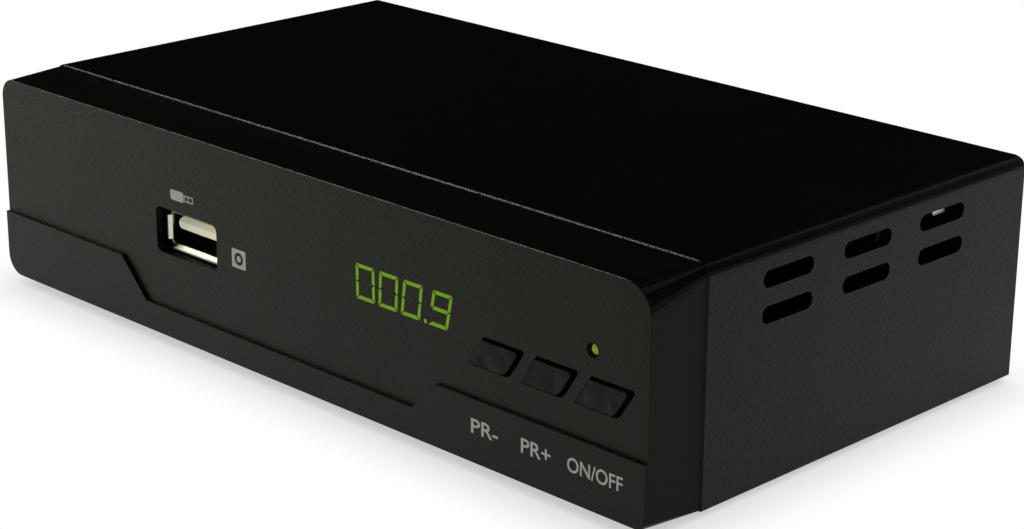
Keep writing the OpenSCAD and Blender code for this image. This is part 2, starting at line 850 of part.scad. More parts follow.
// Outline of the flange behind a button's hole
module flange_outline() {
    z0 = base_z + button_z - flange_over;
    z1 = base_z + button_z + button_h + flange_over;
    polygon([[button_x - flange_side, z0], [button_x + button_w + flange_side, z0],
        [button_x + button_w + button_lean, z1], [button_x + button_lean - flange_side, z1]]);
}

function button_mid(i) = button_x + (button_w + button_lean) / 2 + i * button_pitch;

module button_ch_down() {
    button(0);
}

module button_ch_up() {
    button(1);
}

module button_power() {
    button(2);
}

// Plunger of one push switch, counted from the left
module plunger(i) {
    color(chip_black)
        rod_y(button_mid(i), base_z + button_z + button_h / 2, plunger_d, plunger_front_y, plunger_back_y);
}

module plunger_ch_down() {
    plunger(0);
}

module plunger_ch_up() {
    plunger(1);
}

module plunger_power() {
    plunger(2);
}

// Bodies of the three push switches on the front board
module switch_bodies() {
    mid_z = base_z + button_z + button_h / 2;
    color(tinned)
        for (i = [0:2])
            difference() {
                block([button_mid(i) - switch_w / 2, switch_y, mid_z - switch_w / 2],
                    [button_mid(i) + switch_w / 2, board_face_y, mid_z + switch_w / 2]);
                rod_y(button_mid(i), mid_z, plunger_d + 2 * plunger_gap,
                    switch_y - past, switch_y + switch_bore);
            }
}

// Outlines of the lit bars and the decimal point, swollen by a clearance
module lit_outlines(m) {
    for (i = [0:last_digit])
        translate([digit_at(i), base_z + digit_z])
            for (bar = shown_digits[i])
                polygon([for (p = swollen(bar, m)) leaned(p, i)]);
    translate([digit_at(last_digit) - point_room - segment_w / 4, base_z + digit_z])
        translate([-m, -m])
            square(segment_w + 2 * m);
}

// An outline with its points moved away from their middle
function swollen(pts, m) =
    let (mid = [for (k = [0, 1]) (max([for (p = pts) p[k]]) + min([for (p = pts) p[k]])) / 2])
    [for (p = pts) p + m * [sign(p[0] - mid[0]), sign(p[1] - mid[1])]];

// Lit inlays of the display in the front plate
module display_segments() {
    color(digit_green)
        along_y(plate_y, plate_y + segment_depth)
            lit_outlines(0);
}

// Display module behind the plate
module display_module() {
    color(chip_black)
        block([display_x0, plate_back_y + fit_gap, display_z0], [display_x1, board_face_y, display_z1]);
}

// Status light with its lens in the plate's hole and its base on the board
module status_led() {
    lens_y = plate_y + led_recess;
    color(digit_green)
        union() {
            rod_y(led_x, base_z + led_z, led_d, lens_y + led_d / 2, board_face_y - led_base_l / 2);
            translate([led_x, lens_y + led_d / 2, base_z + led_z])
                sphere(d = led_d);
            rod_y(led_x, base_z + led_z, led_base_d, board_face_y - led_base_l, board_face_y);
        }
}

// Remote control receiver on the front board
module ir_receiver() {
    ir_w = 5;
    ir_h = 6;
    ir_base = 3;
    ir_gap = 1.9;
    ir_mid_x = display_x1 + ir_gap + ir_w / 2;
    ir_z = base_z + front_board_z1 - ir_h - fit_gap;
    color(chip_black)
        union() {
            block([ir_mid_x - ir_w / 2, board_face_y - ir_base, ir_z],
                [ir_mid_x + ir_w / 2, board_face_y, ir_z + ir_h]);
            intersection() {
                rod_y(ir_mid_x, ir_z + ir_h / 2, ir_w - 1,
                    board_face_y - 2 * ir_base, board_face_y - ir_base / 2);
                translate([ir_mid_x, board_face_y - ir_base, ir_z + ir_h / 2])
                    sphere(d = ir_w);
            }
        }
}

// Front board with its screw holes
module front_board() {
    color(board_green)
        difference() {
            block([front_board_x0, board_face_y, base_z + front_board_z0],
                [front_board_x1, board_back_y, base_z + front_board_z1]);
            for (x = front_post_x)
                rod_y(x, base_z + front_post_z, clear_d, board_face_y - past, board_back_y + past);
        }
}

// Connector on the back of the front board
module front_connector() {
    color([0.9, 0.9, 0.85])
        block([connector_x - connector_w / 2, board_back_y, ribbon_z - connector_d / 2],
            [connector_x + connector_w / 2, board_back_y + connector_d, ribbon_z + connector_d / 2]);
}

// Connector on the main board
module main_connector() {
    color([0.9, 0.9, 0.85])
        block([connector_x - connector_w / 2, main_connector_y - connector_d / 2, board_top],
            [connector_x + connector_w / 2, main_connector_y + connector_d / 2, board_top + connector_d]);
}

// Flat ribbon that runs back from the front board and bends down to the main board
module ribbon_cable() {
    start_y = board_back_y + connector_d;
    bend_y = start_y + ribbon_run;
    bend_z = ribbon_z - ribbon_bend;
    outer = ribbon_bend + ribbon_t / 2;
    inner = ribbon_bend - ribbon_t / 2;
    end_z = board_top + connector_d;
    color([0.85, 0.85, 0.82])
        translate([connector_x - ribbon_w / 2, 0, 0])
            rotate([90, 0, 90])
                linear_extrude(ribbon_w)
                    polygon(concat(
                        [[start_y, ribbon_z + ribbon_t / 2]],
                        arc([bend_y, bend_z], outer, 90, 0),
                        [[bend_y + outer, end_z], [bend_y + inner, end_z]],
                        arc([bend_y, bend_z], inner, 0, 90),
                        [[start_y, ribbon_z - ribbon_t / 2]]));
}

// Main board, cut back behind the front board
module main_board() {
    back = socket_y - fit_gap;
    color(board_green)
        difference() {
            translate([0, 0, board_low])
                linear_extrude(board_t)
                    polygon([[-main_half_w, lip_y + main_front], [main_step_x, lip_y + main_front],
                        [main_step_x, lip_y + main_step], [main_half_w, lip_y + main_step],
                        [main_half_w, back], [-main_half_w, back]]);
            four_places(board_post_x, board_post_front, board_post_back)
                rod_z(0, 0, clear_d, board_low - past, board_top + past);
        }
}

// Main chip under the heat sink
module main_chip() {
    color(chip_black)
        block([soc_at[0] - soc_w / 2, soc_at[1] - soc_w / 2, board_top],
            [soc_at[0] + soc_w / 2, soc_at[1] + soc_w / 2, board_top + soc_h]);
}

// Finned heat sink on the main chip
module heat_sink() {
    low = board_top + soc_h;
    plate = 1.8;
    step = (sink_w - sink_fin_t) / (sink_fins - 1);
    color(tinned)
        union() {
            block([soc_at[0] - sink_w / 2, soc_at[1] - sink_w / 2, low],
                [soc_at[0] + sink_w / 2, soc_at[1] + sink_w / 2, low + plate]);
            for (i = [0:sink_fins - 1])
                translate([soc_at[0] - sink_w / 2 + i * step, soc_at[1] - sink_w / 2, low + plate / 2])
                    cube([sink_fin_t, sink_w, sink_h - plate / 2]);
        }
}

// Memory chips beside the main chip
module memory_chips() {
    color(chip_black)
        for (dy = [-memory_w - memory_gap / 2, memory_gap / 2])
            translate([soc_at[0] - sink_w / 2 - memory_l - memory_gap, soc_at[1] + dy, board_top])
                cube([memory_l, memory_w, memory_h]);
}

// Regulator chips beside the supply inlet
module power_chips() {
    color(chip_black)
        for (i = [0:2])
            translate([-main_half_w + regulator_l, soc_at[1] - i * regulator_pitch, board_top])
                cube([regulator_l, regulator_w, regulator_h]);
}

// Upright electrolytic capacitors
module capacitors() {
    color([0.1, 0.1, 0.16]) {
        translate([power_x, power_y, board_top])
            capacitor(big_capacitor_d / 2, big_capacitor_h);
        for (i = [1:3])
            translate([power_x + i * power_pitch, power_y, board_top])
                capacitor(capacitor_d / 2, capacitor_h);
    }
}

// One capacitor with the groove that is rolled into its can
module capacitor(r, h) {
    rotate_extrude()
        polygon([[0, 0], [r, 0], [r, groove_z], [r - groove_in, groove_z + groove_in],
            [r - groove_in, groove_z + groove_h - groove_in], [r, groove_z + groove_h], [r, h], [0, h]]);
}

// Power chokes
module chokes() {
    color(chip_black)
        for (i = [0:1])
            translate([power_x - choke_w / 2 + i * power_pitch, power_y + choke_w, board_top])
                cube([choke_w, choke_w, choke_h]);
}

// Clock crystal in its metal can
module crystal() {
    can_w = 11;
    can_d = 4.6;
    can_h = 3.4;
    color(tinned)
        translate([power_x, power_y + 2 * power_pitch, board_top])
            linear_extrude(can_h)
                polygon(rounded_box(0, 0, can_w, can_d, [for (i = [1:4]) can_d / 2 - slice]));
}

// Small surface parts in rows on the main board
module small_parts() {
    columns = 10;
    start = [usb_x - columns / 2 * small_pitch, usb_y + usb_shell_l + small_row];
    color([0.55, 0.45, 0.32])
        for (i = [0:columns - 1], row = [0, 1])
            translate([start[0] + i * small_pitch, start[1] + row * small_row, board_top])
                cube([small_l, small_w, small_h]);
}

// Screened tuner can that carries both aerial sockets
module tuner_can() {
    can_t = 0.5;
    back = socket_y - fit_gap;
    color(tinned)
        difference() {
            block([tuner_x - tuner_w / 2, back - tuner_d, board_top],
                [tuner_x + tuner_w / 2, back, board_top + tuner_h]);
            block([tuner_x - tuner_w / 2 + can_t, back - tuner_d + can_t, board_top - past],
                [tuner_x + tuner_w / 2 - can_t, back - can_t, board_top + tuner_h + past]);
            for (x = [rf_in_x, rf_out_x])
                rod_y(x, rf_z, rf_d, back - can_t - past, back + past);
        }
}

// Lid of the tuner can, with a spring finger that steadies it at the cover behind the last upper slot
module tuner_lid() {
    back = socket_y - fit_gap;
    z = board_top + tuner_h;
    hole_d = 2.4;
    color(tinned)
        union() {
            difference() {
                block([tuner_x - tuner_w / 2, back - tuner_d, z], [tuner_x + tuner_w / 2, back, z + lid_t]);
                for (dx = [-1, 1])
                    rod_z(tuner_x + dx * tuner_w / 4, back - tuner_d / 2, hole_d, z - past, z + lid_t + past);
            }
            along_y(finger_y - finger_w / 2, finger_y + finger_w / 2)
                polygon(finger_section(tuner_x + tuner_w / 2, z + lid_t / 2));
        }
}

// Section of the lid's finger: out of the lid's edge, up, along to the cover's wall and up beside it
function finger_section(edge_x, root_z) =
    let (arm_z = max(top_z - vent_drop - finger_drop - finger_t, root_z),
        rise = arm_z - root_z,
        end_x = inner_half - finger_gap,
        tip_z = arm_z + finger_t + finger_h)
    [[edge_x - finger_root, root_z], [edge_x + finger_t, root_z], [edge_x + finger_t + rise, arm_z],
        [end_x, arm_z], [end_x, arm_z + finger_t], [end_x - finger_lean, tip_z],
        [end_x - finger_lean - finger_t, tip_z], [end_x - finger_t, arm_z + finger_t],
        [edge_x + rise, arm_z + finger_t], [edge_x, root_z + finger_t],
        [edge_x - finger_root, root_z + finger_t]];

// Sleeve of an aerial socket with a flange against the tuner can
module aerial_sleeve(x, outer, bore) {
    start = socket_y - fit_gap;
    end = back_y + rf_reach;
    color(tinned)
        difference() {
            union() {
                rod_y(x, rf_z, outer, start, end);
                rod_y(x, rf_z, rf_outer_d, start, rear_y + rf_flange);
            }
            rod_y(x, rf_z, bore, start + rf_floor, end + past);
            rod_y(x, rf_z, rf_d / 2, start - past, start + 2 * rf_floor);
        }
}

// Aerial input: a sleeve with a mating bore
module aerial_in_sleeve() {
    aerial_sleeve(rf_in_x, rf_outer_d, rf_d);
}

module aerial_in_insulator() {
    color([0.92, 0.92, 0.9])
        difference() {
            rod_y(rf_in_x, rf_z, rf_d - 2 * fit_gap, rf_floor_y, socket_y + rf_insulator);
            rod_y(rf_in_x, rf_z, rf_contact_d, rf_floor_y - past, socket_y + rf_insulator + past);
        }
}

module aerial_in_contact() {
    color(tinned)
        difference() {
            rod_y(rf_in_x, rf_z, rf_contact_d - 2 * fit_gap, rf_floor_y, back_y + rf_reach - rf_tube_in);
            rod_y(rf_in_x, rf_z, rf_pin_d, socket_y + rf_insulator, back_y + rf_reach);
        }
}

// Aerial output: a sleeve that fits the same bore, with a pin
module aerial_out_sleeve() {
    aerial_sleeve(rf_out_x, rf_d - rf_play, rf_d - 2 * rf_wall);
}

module aerial_out_insulator() {
    color([0.92, 0.92, 0.9])
        difference() {
            rod_y(rf_out_x, rf_z, rf_d - 2 * rf_wall - 2 * fit_gap, rf_floor_y, socket_y + rf_insulator);
            rod_y(rf_out_x, rf_z, rf_pin_d + 2 * fit_gap, rf_floor_y - past, socket_y + rf_insulator + past);
        }
}

module aerial_out_pin() {
    color(tinned)
        rod_y(rf_out_x, rf_z, rf_pin_d, rf_floor_y, back_y + rf_reach - rf_pin_in);
}

// Outline of the picture and sound socket's shell, swollen by a margin
module hdmi_outline(m) {
    half = hdmi_w / 2 + m;
    z0 = board_top - m;
    z1 = board_top + hdmi_h + m;
    chamfer = 1.6;
    polygon([[hdmi_x - half + chamfer, z0], [hdmi_x + half - chamfer, z0], [hdmi_x + half, z0 + chamfer],
        [hdmi_x + half, z1], [hdmi_x - half, z1], [hdmi_x - half, z0 + chamfer]]);
}

// Metal shell of the picture and sound socket
module hdmi_shell() {
    color(tinned)
        difference() {
            along_y(rear_y - hdmi_l, rear_y - fit_gap)
                hdmi_outline(0);
            along_y(rear_y - hdmi_l + hdmi_back_t, rear_y + past)
                hdmi_outline(-hdmi_sheet);
        }
}

// Contact tongue of the picture and sound socket
module hdmi_tongue() {
    color(chip_black)
        translate([hdmi_x - hdmi_tongue_w / 2, rear_y - hdmi_l + hdmi_back_t,
                board_top + hdmi_h / 2 - hdmi_tongue_t / 2])
            cube([hdmi_tongue_w, hdmi_tongue_l, hdmi_tongue_t]);
}

function scart_screw_x(side) = scart_x + side * (scart_w / 2 - scart_ear / 2);

// Outline of the 21 pin socket's mouth with its slanted end, drawn in by a margin
module scart_outline(m) {
    half = scart_mouth_w / 2 - m;
    z0 = scart_z - scart_mouth_h / 2 + m;
    z1 = scart_z + scart_mouth_h / 2 - m;
    polygon([[scart_x - half + scart_slant, z0], [scart_x + half, z0], [scart_x + half, z1],
        [scart_x - half, z1], [scart_x - half, z0 + scart_slant]]);
}

// Places of the contact slits of the 21 pin socket
module scart_places() {
    first_x = scart_x - (scart_slits - 1) / 2 * scart_slit_pitch + scart_shift;
    for (i = [0:scart_slits - 1], row = [-1, 1])
        translate([first_x + i * scart_slit_pitch + row * scart_stagger, 0, scart_z + row * scart_row])
            children();
}

// Body of the 21 pin socket: a mouth round a contact carrier with slits
module scart_body() {
    mouth_y = socket_y - scart_depth;
    color(chip_black)
        difference() {
            block([scart_x - scart_w / 2, socket_y - scart_l, board_top],
                [scart_x + scart_w / 2, socket_y, board_top + scart_h]);
            difference() {
                along_y(mouth_y, socket_y + past)
                    scart_outline(0);
                along_y(mouth_y - past, socket_y + 2 * past)
                    scart_outline(scart_groove);
            }
            scart_places()
                block([-scart_slit_w / 2, mouth_y, -scart_slit_h / 2],
                    [scart_slit_w / 2, socket_y + past, scart_slit_h / 2]);
            for (side = [-1, 1])
                rod_y(scart_screw_x(side), scart_z, pilot_d,
                    rear_y - board_screw_l - bore_spare, socket_y + past);
        }
}

// Contact blades in the slits of the 21 pin socket
module scart_contacts() {
    blade = scart_slit_w / 2;
    blade_in = 0.4;
    color([0.8, 0.7, 0.4])
        scart_places()
            block([-scart_slit_w / 2, socket_y - scart_depth, -scart_slit_h / 2 + blade_in],
                [-scart_slit_w / 2 + blade, socket_y - blade_in, scart_slit_h / 2 - blade_in]);
}

// Body of the digital sound socket on the main board
module coax_body() {
    color([0.75, 0.35, 0.08])
        difference() {
            union() {
                block([coax_x - coax_w / 2, socket_y - coax_l, board_top],
                    [coax_x + coax_w / 2, socket_y - fit_gap, board_top + coax_h]);
                rod_y(coax_x, coax_z, coax_core_d, socket_y - past, back_y + coax_core_out);
            }
            rod_y(coax_x, coax_z, coax_bore, socket_y - coax_l + coax_floor, back_y + coax_core_out + past);
        }
}

// Ground sleeve of the digital sound socket
module coax_sleeve() {
    color(tinned)
        difference() {
            rod_y(coax_x, coax_z, coax_d, socket_y - fit_gap, back_y + coax_reach);
            rod_y(coax_x, coax_z, coax_core_d + 2 * fit_gap, socket_y - past, back_y + coax_reach + past);
        }
}

// Centre contact of the digital sound socket
module coax_contact() {
    color(tinned)
        difference() {
            rod_y(coax_x, coax_z, coax_bore - 2 * fit_gap, socket_y - coax_l + coax_floor, back_y);
            rod_y(coax_x, coax_z, coax_bore / 2, socket_y - coax_l + 2 * coax_floor, back_y + past);
        }
}

// Body of the supply inlet
module inlet_body() {
    color(chip_black)
        difference() {
            block([inlet_x - inlet_w / 2, socket_y - inlet_l, board_top],
                [inlet_x + inlet_w / 2, socket_y - fit_gap, board_top + inlet_h]);
            rod_y(inlet_x, inlet_z, inlet_d, socket_y - inlet_l + inlet_floor, socket_y + past);
        }
}

// Centre pin of the supply inlet
module inlet_pin() {
    color(tinned)
        rod_y(inlet_x, inlet_z, inlet_pin_d, socket_y - inlet_l + inlet_floor, socket_y - inlet_pin_in);
}

// Outline of the memory stick port's shell, drawn in by a margin
module usb_outline(m) {
    polygon(rounded_box(usb_x - usb_shell_w / 2 + m, board_top + m,
        usb_x + usb_shell_w / 2 - m, board_top + usb_shell_h - m, [for (i = [1:4]) usb_shell_r]));
}

// Metal shell of the memory stick port, with a bent lip on each side of its mouth
module usb_shell() {
    mouth_y = usb_y + usb_flare_l;
    color(tinned)
        union() {
            difference() {
                along_y(mouth_y, usb_y + usb_shell_l)
                    usb_outline(0);
                along_y(mouth_y - past, usb_y + usb_shell_l - usb_back_t)
                    usb_outline(usb_shell_t);
            }
            for (side = [-1, 1]) {
                translate([usb_x, 0, board_top + usb_lip_trim])
                    linear_extrude(usb_shell_h - 2 * usb_lip_trim)
                        polygon([for (p = lip_profile(usb_shell_w / 2, usb_flare)) [side * p[1], p[0]]]);
                translate([usb_x - usb_shell_w / 2 + usb_lip_trim, 0, board_top + usb_shell_h / 2])
                    rotate([90, 0, 90])
                        linear_extrude(usb_shell_w - 2 * usb_lip_trim)
                            polygon([for (p = lip_profile(usb_shell_h / 2,
                                side < 0 ? usb_flare_low : usb_flare)) [p[0], side * p[1]]]);
            }
        }
}

// Section of a lip that bends away from a wall of the shell: depth and distance from the middle
function lip_profile(wall_at, flare) = [
    [usb_y, wall_at + flare - usb_shell_t], [usb_y, wall_at + flare],
    [usb_y + usb_flare_l, wall_at], [usb_y + usb_flare_l + usb_shell_t, wall_at],
    [usb_y + usb_flare_l + usb_shell_t, wall_at - usb_shell_t], [usb_y + usb_flare_l, wall_at - usb_shell_t]];

// Contact tongue of the memory stick port, sloped above its tip
module usb_tongue() {
    tip_y = usb_y + usb_tongue_in;
    top = usb_tongue_low + usb_tongue_t;
    over = past * usb_slope_h / usb_slope_d;
    color([0.9, 0.9, 0.86])
        difference() {
            along_y(tip_y, usb_y + usb_shell_l - usb_back_t)
                polygon(rounded_box(usb_x - usb_tongue_w / 2, usb_tongue_low,
                    usb_x + usb_tongue_w / 2, top, [for (i = [1:4]) usb_tongue_r]));
            translate([usb_x - usb_tongue_w, 0, 0])
                rotate([90, 0, 90])
                    linear_extrude(2 * usb_tongue_w)
                        polygon([[tip_y - past, top - usb_slope_h - over],
                            [tip_y + usb_slope_d + past, top + over], [tip_y - past, top + over]]);
        }
}

// Contact strips under the tongue of the memory stick port
module usb_contacts() {
    strip_w = 1;
    strip_t = 0.2;
    strip_in = 1;
    strip_inner = 1;
    strip_outer = 3.5;
    color([0.8, 0.7, 0.4])
        for (x = [-strip_outer, -strip_inner, strip_inner, strip_outer])
            block([usb_x + x - strip_w / 2, usb_y + usb_tongue_in + strip_in, usb_tongue_low - strip_t],
                [usb_x + x + strip_w / 2, usb_y + usb_shell_l - usb_back_t, usb_tongue_low]);
}

// A pan head screw that points up, with its head's seat at the origin
module screw(l) {
    slot = [0.6, screw_head_d * 0.6, screw_head_h];
    difference() {
        union() {
            translate([0, 0, -screw_head_h / 2])
                cylinder(d = screw_d, h = l + screw_head_h / 2);
            translate([0, 0, -screw_head_h])
                cylinder(d = screw_head_d, h = screw_head_h);
        }
        for (a = [0, 90])
            rotate([0, 0, a])
                translate([-slot[0] / 2, -slot[1] / 2, -1.5 * screw_head_h])
                    cube(slot);
    }
}

// Screws that hold the cover to the tray from below
module case_screws() {
    color(tinned)
        four_places(case_boss_x, case_boss_front, case_boss_back)
            translate([0, 0, base_z + counterbore])
                screw(case_screw_l);
}

// Screws that hold the main board to the tray's posts
module board_screws() {
    color(tinned)
        four_places(board_post_x, board_post_front, board_post_back)
            translate([0, 0, board_top])
                rotate([180, 0, 0])
                    screw(board_screw_l);
}

// Screws that hold the front board to the bezel's posts
module front_board_screws() {
    color(tinned)
        for (x = front_post_x)
            translate([x, board_back_y, base_z + front_post_z])
                rotate([90, 0, 0])
                    screw(front_screw_l);
}

// Screws that hold the rear panel to the 21 pin socket
module rear_screws() {
    color(tinned)
        for (side = [-1, 1])
            translate([scart_screw_x(side), rear_y, scart_z])
                rotate([90, 0, 0])
                    screw(board_screw_l);
}

// Rubber feet under the tray
module rubber_feet() {
    foot_x = case_boss_x - foot_in;
    color([0.05, 0.05, 0.05])
        four_places(foot_x, case_boss_front, case_boss_back)
            cylinder(d = foot_d, h = foot_h);
}

top_cover();
bottom_tray();
rear_panel();
front_bezel();
front_plate();
button_ch_down();
button_ch_up();
button_power();
plunger_ch_down();
plunger_ch_up();
plunger_power();
switch_bodies();
display_segments();
display_module();
status_led();
ir_receiver();
front_board();
front_connector();
ribbon_cable();
main_connector();
main_board();
main_chip();
heat_sink();
memory_chips();
power_chips();
capacitors();
chokes();
crystal();
small_parts();
tuner_can();
tuner_lid();
aerial_in_sleeve();
aerial_in_insulator();
aerial_in_contact();
aerial_out_sleeve();
aerial_out_insulator();
aerial_out_pin();
hdmi_shell();
hdmi_tongue();
scart_body();
scart_contacts();
coax_body();
coax_sleeve();
coax_contact();
inlet_body();
inlet_pin();
usb_shell();
usb_tongue();
usb_contacts();
case_screws();
board_screws();
front_board_screws();
rear_screws();
rubber_feet();
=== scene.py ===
"""Digital television receiver: finishes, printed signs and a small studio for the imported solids.

Lengths are metres in the frame of the solids: x to the right as seen from the front, y to the back, z up.
"""

import json
import math

import bmesh
import bpy
from mathutils import Matrix, Vector

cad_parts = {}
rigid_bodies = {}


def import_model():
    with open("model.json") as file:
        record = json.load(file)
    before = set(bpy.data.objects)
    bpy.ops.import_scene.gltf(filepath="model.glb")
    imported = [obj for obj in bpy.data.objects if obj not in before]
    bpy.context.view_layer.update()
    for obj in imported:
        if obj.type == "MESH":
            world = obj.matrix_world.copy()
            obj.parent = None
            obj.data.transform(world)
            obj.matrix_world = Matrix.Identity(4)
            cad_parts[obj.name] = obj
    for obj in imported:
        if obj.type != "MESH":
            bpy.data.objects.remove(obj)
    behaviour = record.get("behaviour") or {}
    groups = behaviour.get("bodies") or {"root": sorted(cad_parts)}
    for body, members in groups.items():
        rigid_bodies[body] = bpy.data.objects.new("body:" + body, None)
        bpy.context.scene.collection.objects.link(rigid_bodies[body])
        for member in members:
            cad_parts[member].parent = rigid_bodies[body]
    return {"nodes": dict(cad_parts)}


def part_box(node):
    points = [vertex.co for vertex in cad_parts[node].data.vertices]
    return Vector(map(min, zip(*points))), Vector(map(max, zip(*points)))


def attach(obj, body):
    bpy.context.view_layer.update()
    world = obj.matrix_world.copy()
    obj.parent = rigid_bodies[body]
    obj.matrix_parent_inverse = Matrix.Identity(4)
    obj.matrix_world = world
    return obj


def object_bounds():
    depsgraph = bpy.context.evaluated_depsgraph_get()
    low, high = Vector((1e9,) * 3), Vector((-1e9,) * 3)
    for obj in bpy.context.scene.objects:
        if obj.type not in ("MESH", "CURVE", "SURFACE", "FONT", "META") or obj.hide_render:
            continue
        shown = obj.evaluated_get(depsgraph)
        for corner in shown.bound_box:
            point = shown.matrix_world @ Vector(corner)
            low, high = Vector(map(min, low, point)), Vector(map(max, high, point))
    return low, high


for leftover in list(bpy.data.objects):
    bpy.data.objects.remove(leftover)
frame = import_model()
CAD_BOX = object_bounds()

bl_info = {
    "name": "Television receiver finishes",
    "version": (1, 0, 0),
    "blender": (4, 5, 0),
    "location": "View3D > Sidebar > Receiver",
    "description": "Finishes, printed signs and studio for a small digital television receiver",
    "category": "Object",
}

MM = 0.001
# The part of its whole range that a noise pattern fills.
NOISE_RANGE = {"From Min": 0.3, "From Max": 0.7}

# Rounding of the port's and the feet's edges, and how far in the port's bright lips reach before painted shade
# darkens the metal.
PORT_EDGE = 0.05 * MM
FOOT_EDGE = 0.25 * MM
PORT_LIP = 0.55 * MM

# Legends under the buttons: piece, word, left and right end in millimetres.
LEGENDS = (("legend_programme_down", "PR-", 41.6, 47.1),
           ("legend_programme_up", "PR+", 51.7, 57.5),
           ("legend_on_off", "ON/OFF", 60.7, 71.1))
LEGEND_FOOT = 6.5 * MM
LEGEND_WEIGHT = 0.012
# Places of the two signs on the plate: left, right, lower and upper edge.
STICK_PLACE = [edge * MM for edge in (-28.3, -22.5, 25.6, 27.3)]
SQUARE_PLACE = [edge * MM for edge in (-13.0, -9.6, 18.0, 21.1)]
# Signs are drawn in units of their own with this depth, and are then fitted to their place and film.
DRAFT_DEPTH = 0.01

# Studio lamps: name, way to it from the part, distance, width and height, watts, colour.
LAMPS = (
    # Low softboxes before the front, the right side and the back.
    ("soft_front", (0.35, -1.0, 0.25), 1.5, (0.9, 0.25), 7.0, "#fff8ec"),
    ("soft_right", (1.0, 0.1, 0.12), 1.5, (0.9, 0.25), 4.0, "#f6faff"),
    ("soft_back", (0.0, 1.0, 0.12), 1.5, (0.6, 0.25), 5.0, "#ffffff"),
    # A low box on the left grazes the front, which brightens towards that end.
    ("soft_left", (-0.9, -0.42, 0.05), 1.5, (0.5, 0.14), 5.6, "#ffefb4"),
    # A narrow strip high on the left draws the bright line along the crease and the upper edges.
    ("strip", (-0.67, -0.33, 0.67), 1.2, (0.3, 0.05), 9.5, "#ffffff"),
    # Boxes high at the back draw the soft grey lines along the rounded right edge and the nose's corner.
    ("edge_back", (0.27, 0.765, 0.58), 1.5, (0.35, 0.3), 0.36, "#f4fbf6"),
    ("edge_corner", (0.3, 0.54, 0.79), 1.5, (0.5, 0.12), 0.3, "#f4fbf6"),
    ("overhead", (0.05, -0.1, 1.0), 1.5, (0.4, 0.4), 4.5, "#ffffff"),
)
LAMP_AIM = Vector((0, -10 * MM, 18 * MM))
ROOM_STRENGTH = 0.005

# Floor disc: radii of its rings, points round each, its drop below the feet, and the soft shadow painted on it:
# its reach and its darkest tone.
FLOOR_RINGS = (0.15, 0.6, 2.5, 12.0)
FLOOR_TURNS = 96
FLOOR_DROP = 0.02 * MM
SHADOW_REACH = 11 * MM
SHADOW_TONE = 0.5

# Place of the camera round its aim, its roll and its lens.
CAMERA_TURN = math.radians(44.928)
CAMERA_RISE = math.radians(18.968)
CAMERA_ROLL = math.radians(0.397)
CAMERA_AIM = Vector((6.515, -4.30, 12.94)) * MM
CAMERA_DISTANCE = 401.3 * MM
CAMERA_LENS = 85.97


# ---------------------------------------------------------------- small helpers

def linear(code):
    """Linear RGBA of an sRGB hex colour."""
    parts = [int(code[i:i + 2], 16) / 255 for i in (1, 3, 5)]
    return [c / 12.92 if c <= 0.04045 else ((c + 0.055) / 1.055) ** 2.4 for c in parts] + [1.0]


def shade(colour, factor):
    """The same linear colour, lighter or darker."""
    return [min(1.0, c * factor) for c in colour[:3]] + [1.0]


def per_mm(size):
    """Scale at which a pattern's features are about this many millimetres across."""
    return 1 / (size * MM)


def add(tree, kind, sockets=None, out=None, **settings):
    """Adds a node, sets its properties, and gives each input its value or its link. Returns the node, or the
    output that is asked for."""
    made = tree.nodes.new(kind)
    for name, value in settings.items():
        setattr(made, name, value)
    for key, value in (sockets or {}).items():
        if isinstance(value, bpy.types.NodeSocket):
            tree.links.new(value, made.inputs[key])
        else:
            made.inputs[key].default_value = value
    return made if out is None else made.outputs[out]


def begin(name):
    """A new node material, with the coordinates of its object in metres."""
    material = bpy.data.materials.new(name)
    material.use_nodes = True
    material.node_tree.nodes.clear()
    return material, material.node_tree, add(material.node_tree, "ShaderNodeTexCoord", out="Object")


def end(material, **sockets):
    """Closes a material with one surface shader; underscores in names stand for spaces."""
    tree = material.node_tree
    named = {key.replace("_", " "): value for key, value in sockets.items()}
    surface = add(tree, "ShaderNodeBsdfPrincipled", named, "BSDF")
    add(tree, "ShaderNodeOutputMaterial", {"Surface": surface})
    return material


def dress(material, *nodes):
    """Puts a material on solids of the frame."""
    for name in nodes:
        slots = frame["nodes"][name].data.materials
        slots.clear()
        slots.append(material)


def soften(width, *nodes, segments=3):
    """Rounds the sharp edges of solids as a mould does."""
    for name in nodes:
        piece = frame["nodes"][name]
        weld = piece.modifiers.new("joined_corners", "WELD")
        weld.merge_threshold = 0.002 * MM
        edge = piece.modifiers.new("moulded_edges", "BEVEL")
        edge.width = width
        edge.segments = segments
        edge.limit_method = "ANGLE"
        edge.angle_limit = math.radians(32)
        edge.use_clamp_overlap = True
        edge.miter_outer = "MITER_ARC"
        even = piece.modifiers.new("even_shading", "WEIGHTED_NORMAL")
        even.weight = 60
        even.keep_sharp = False


# ---------------------------------------------------------------- sizes and colours

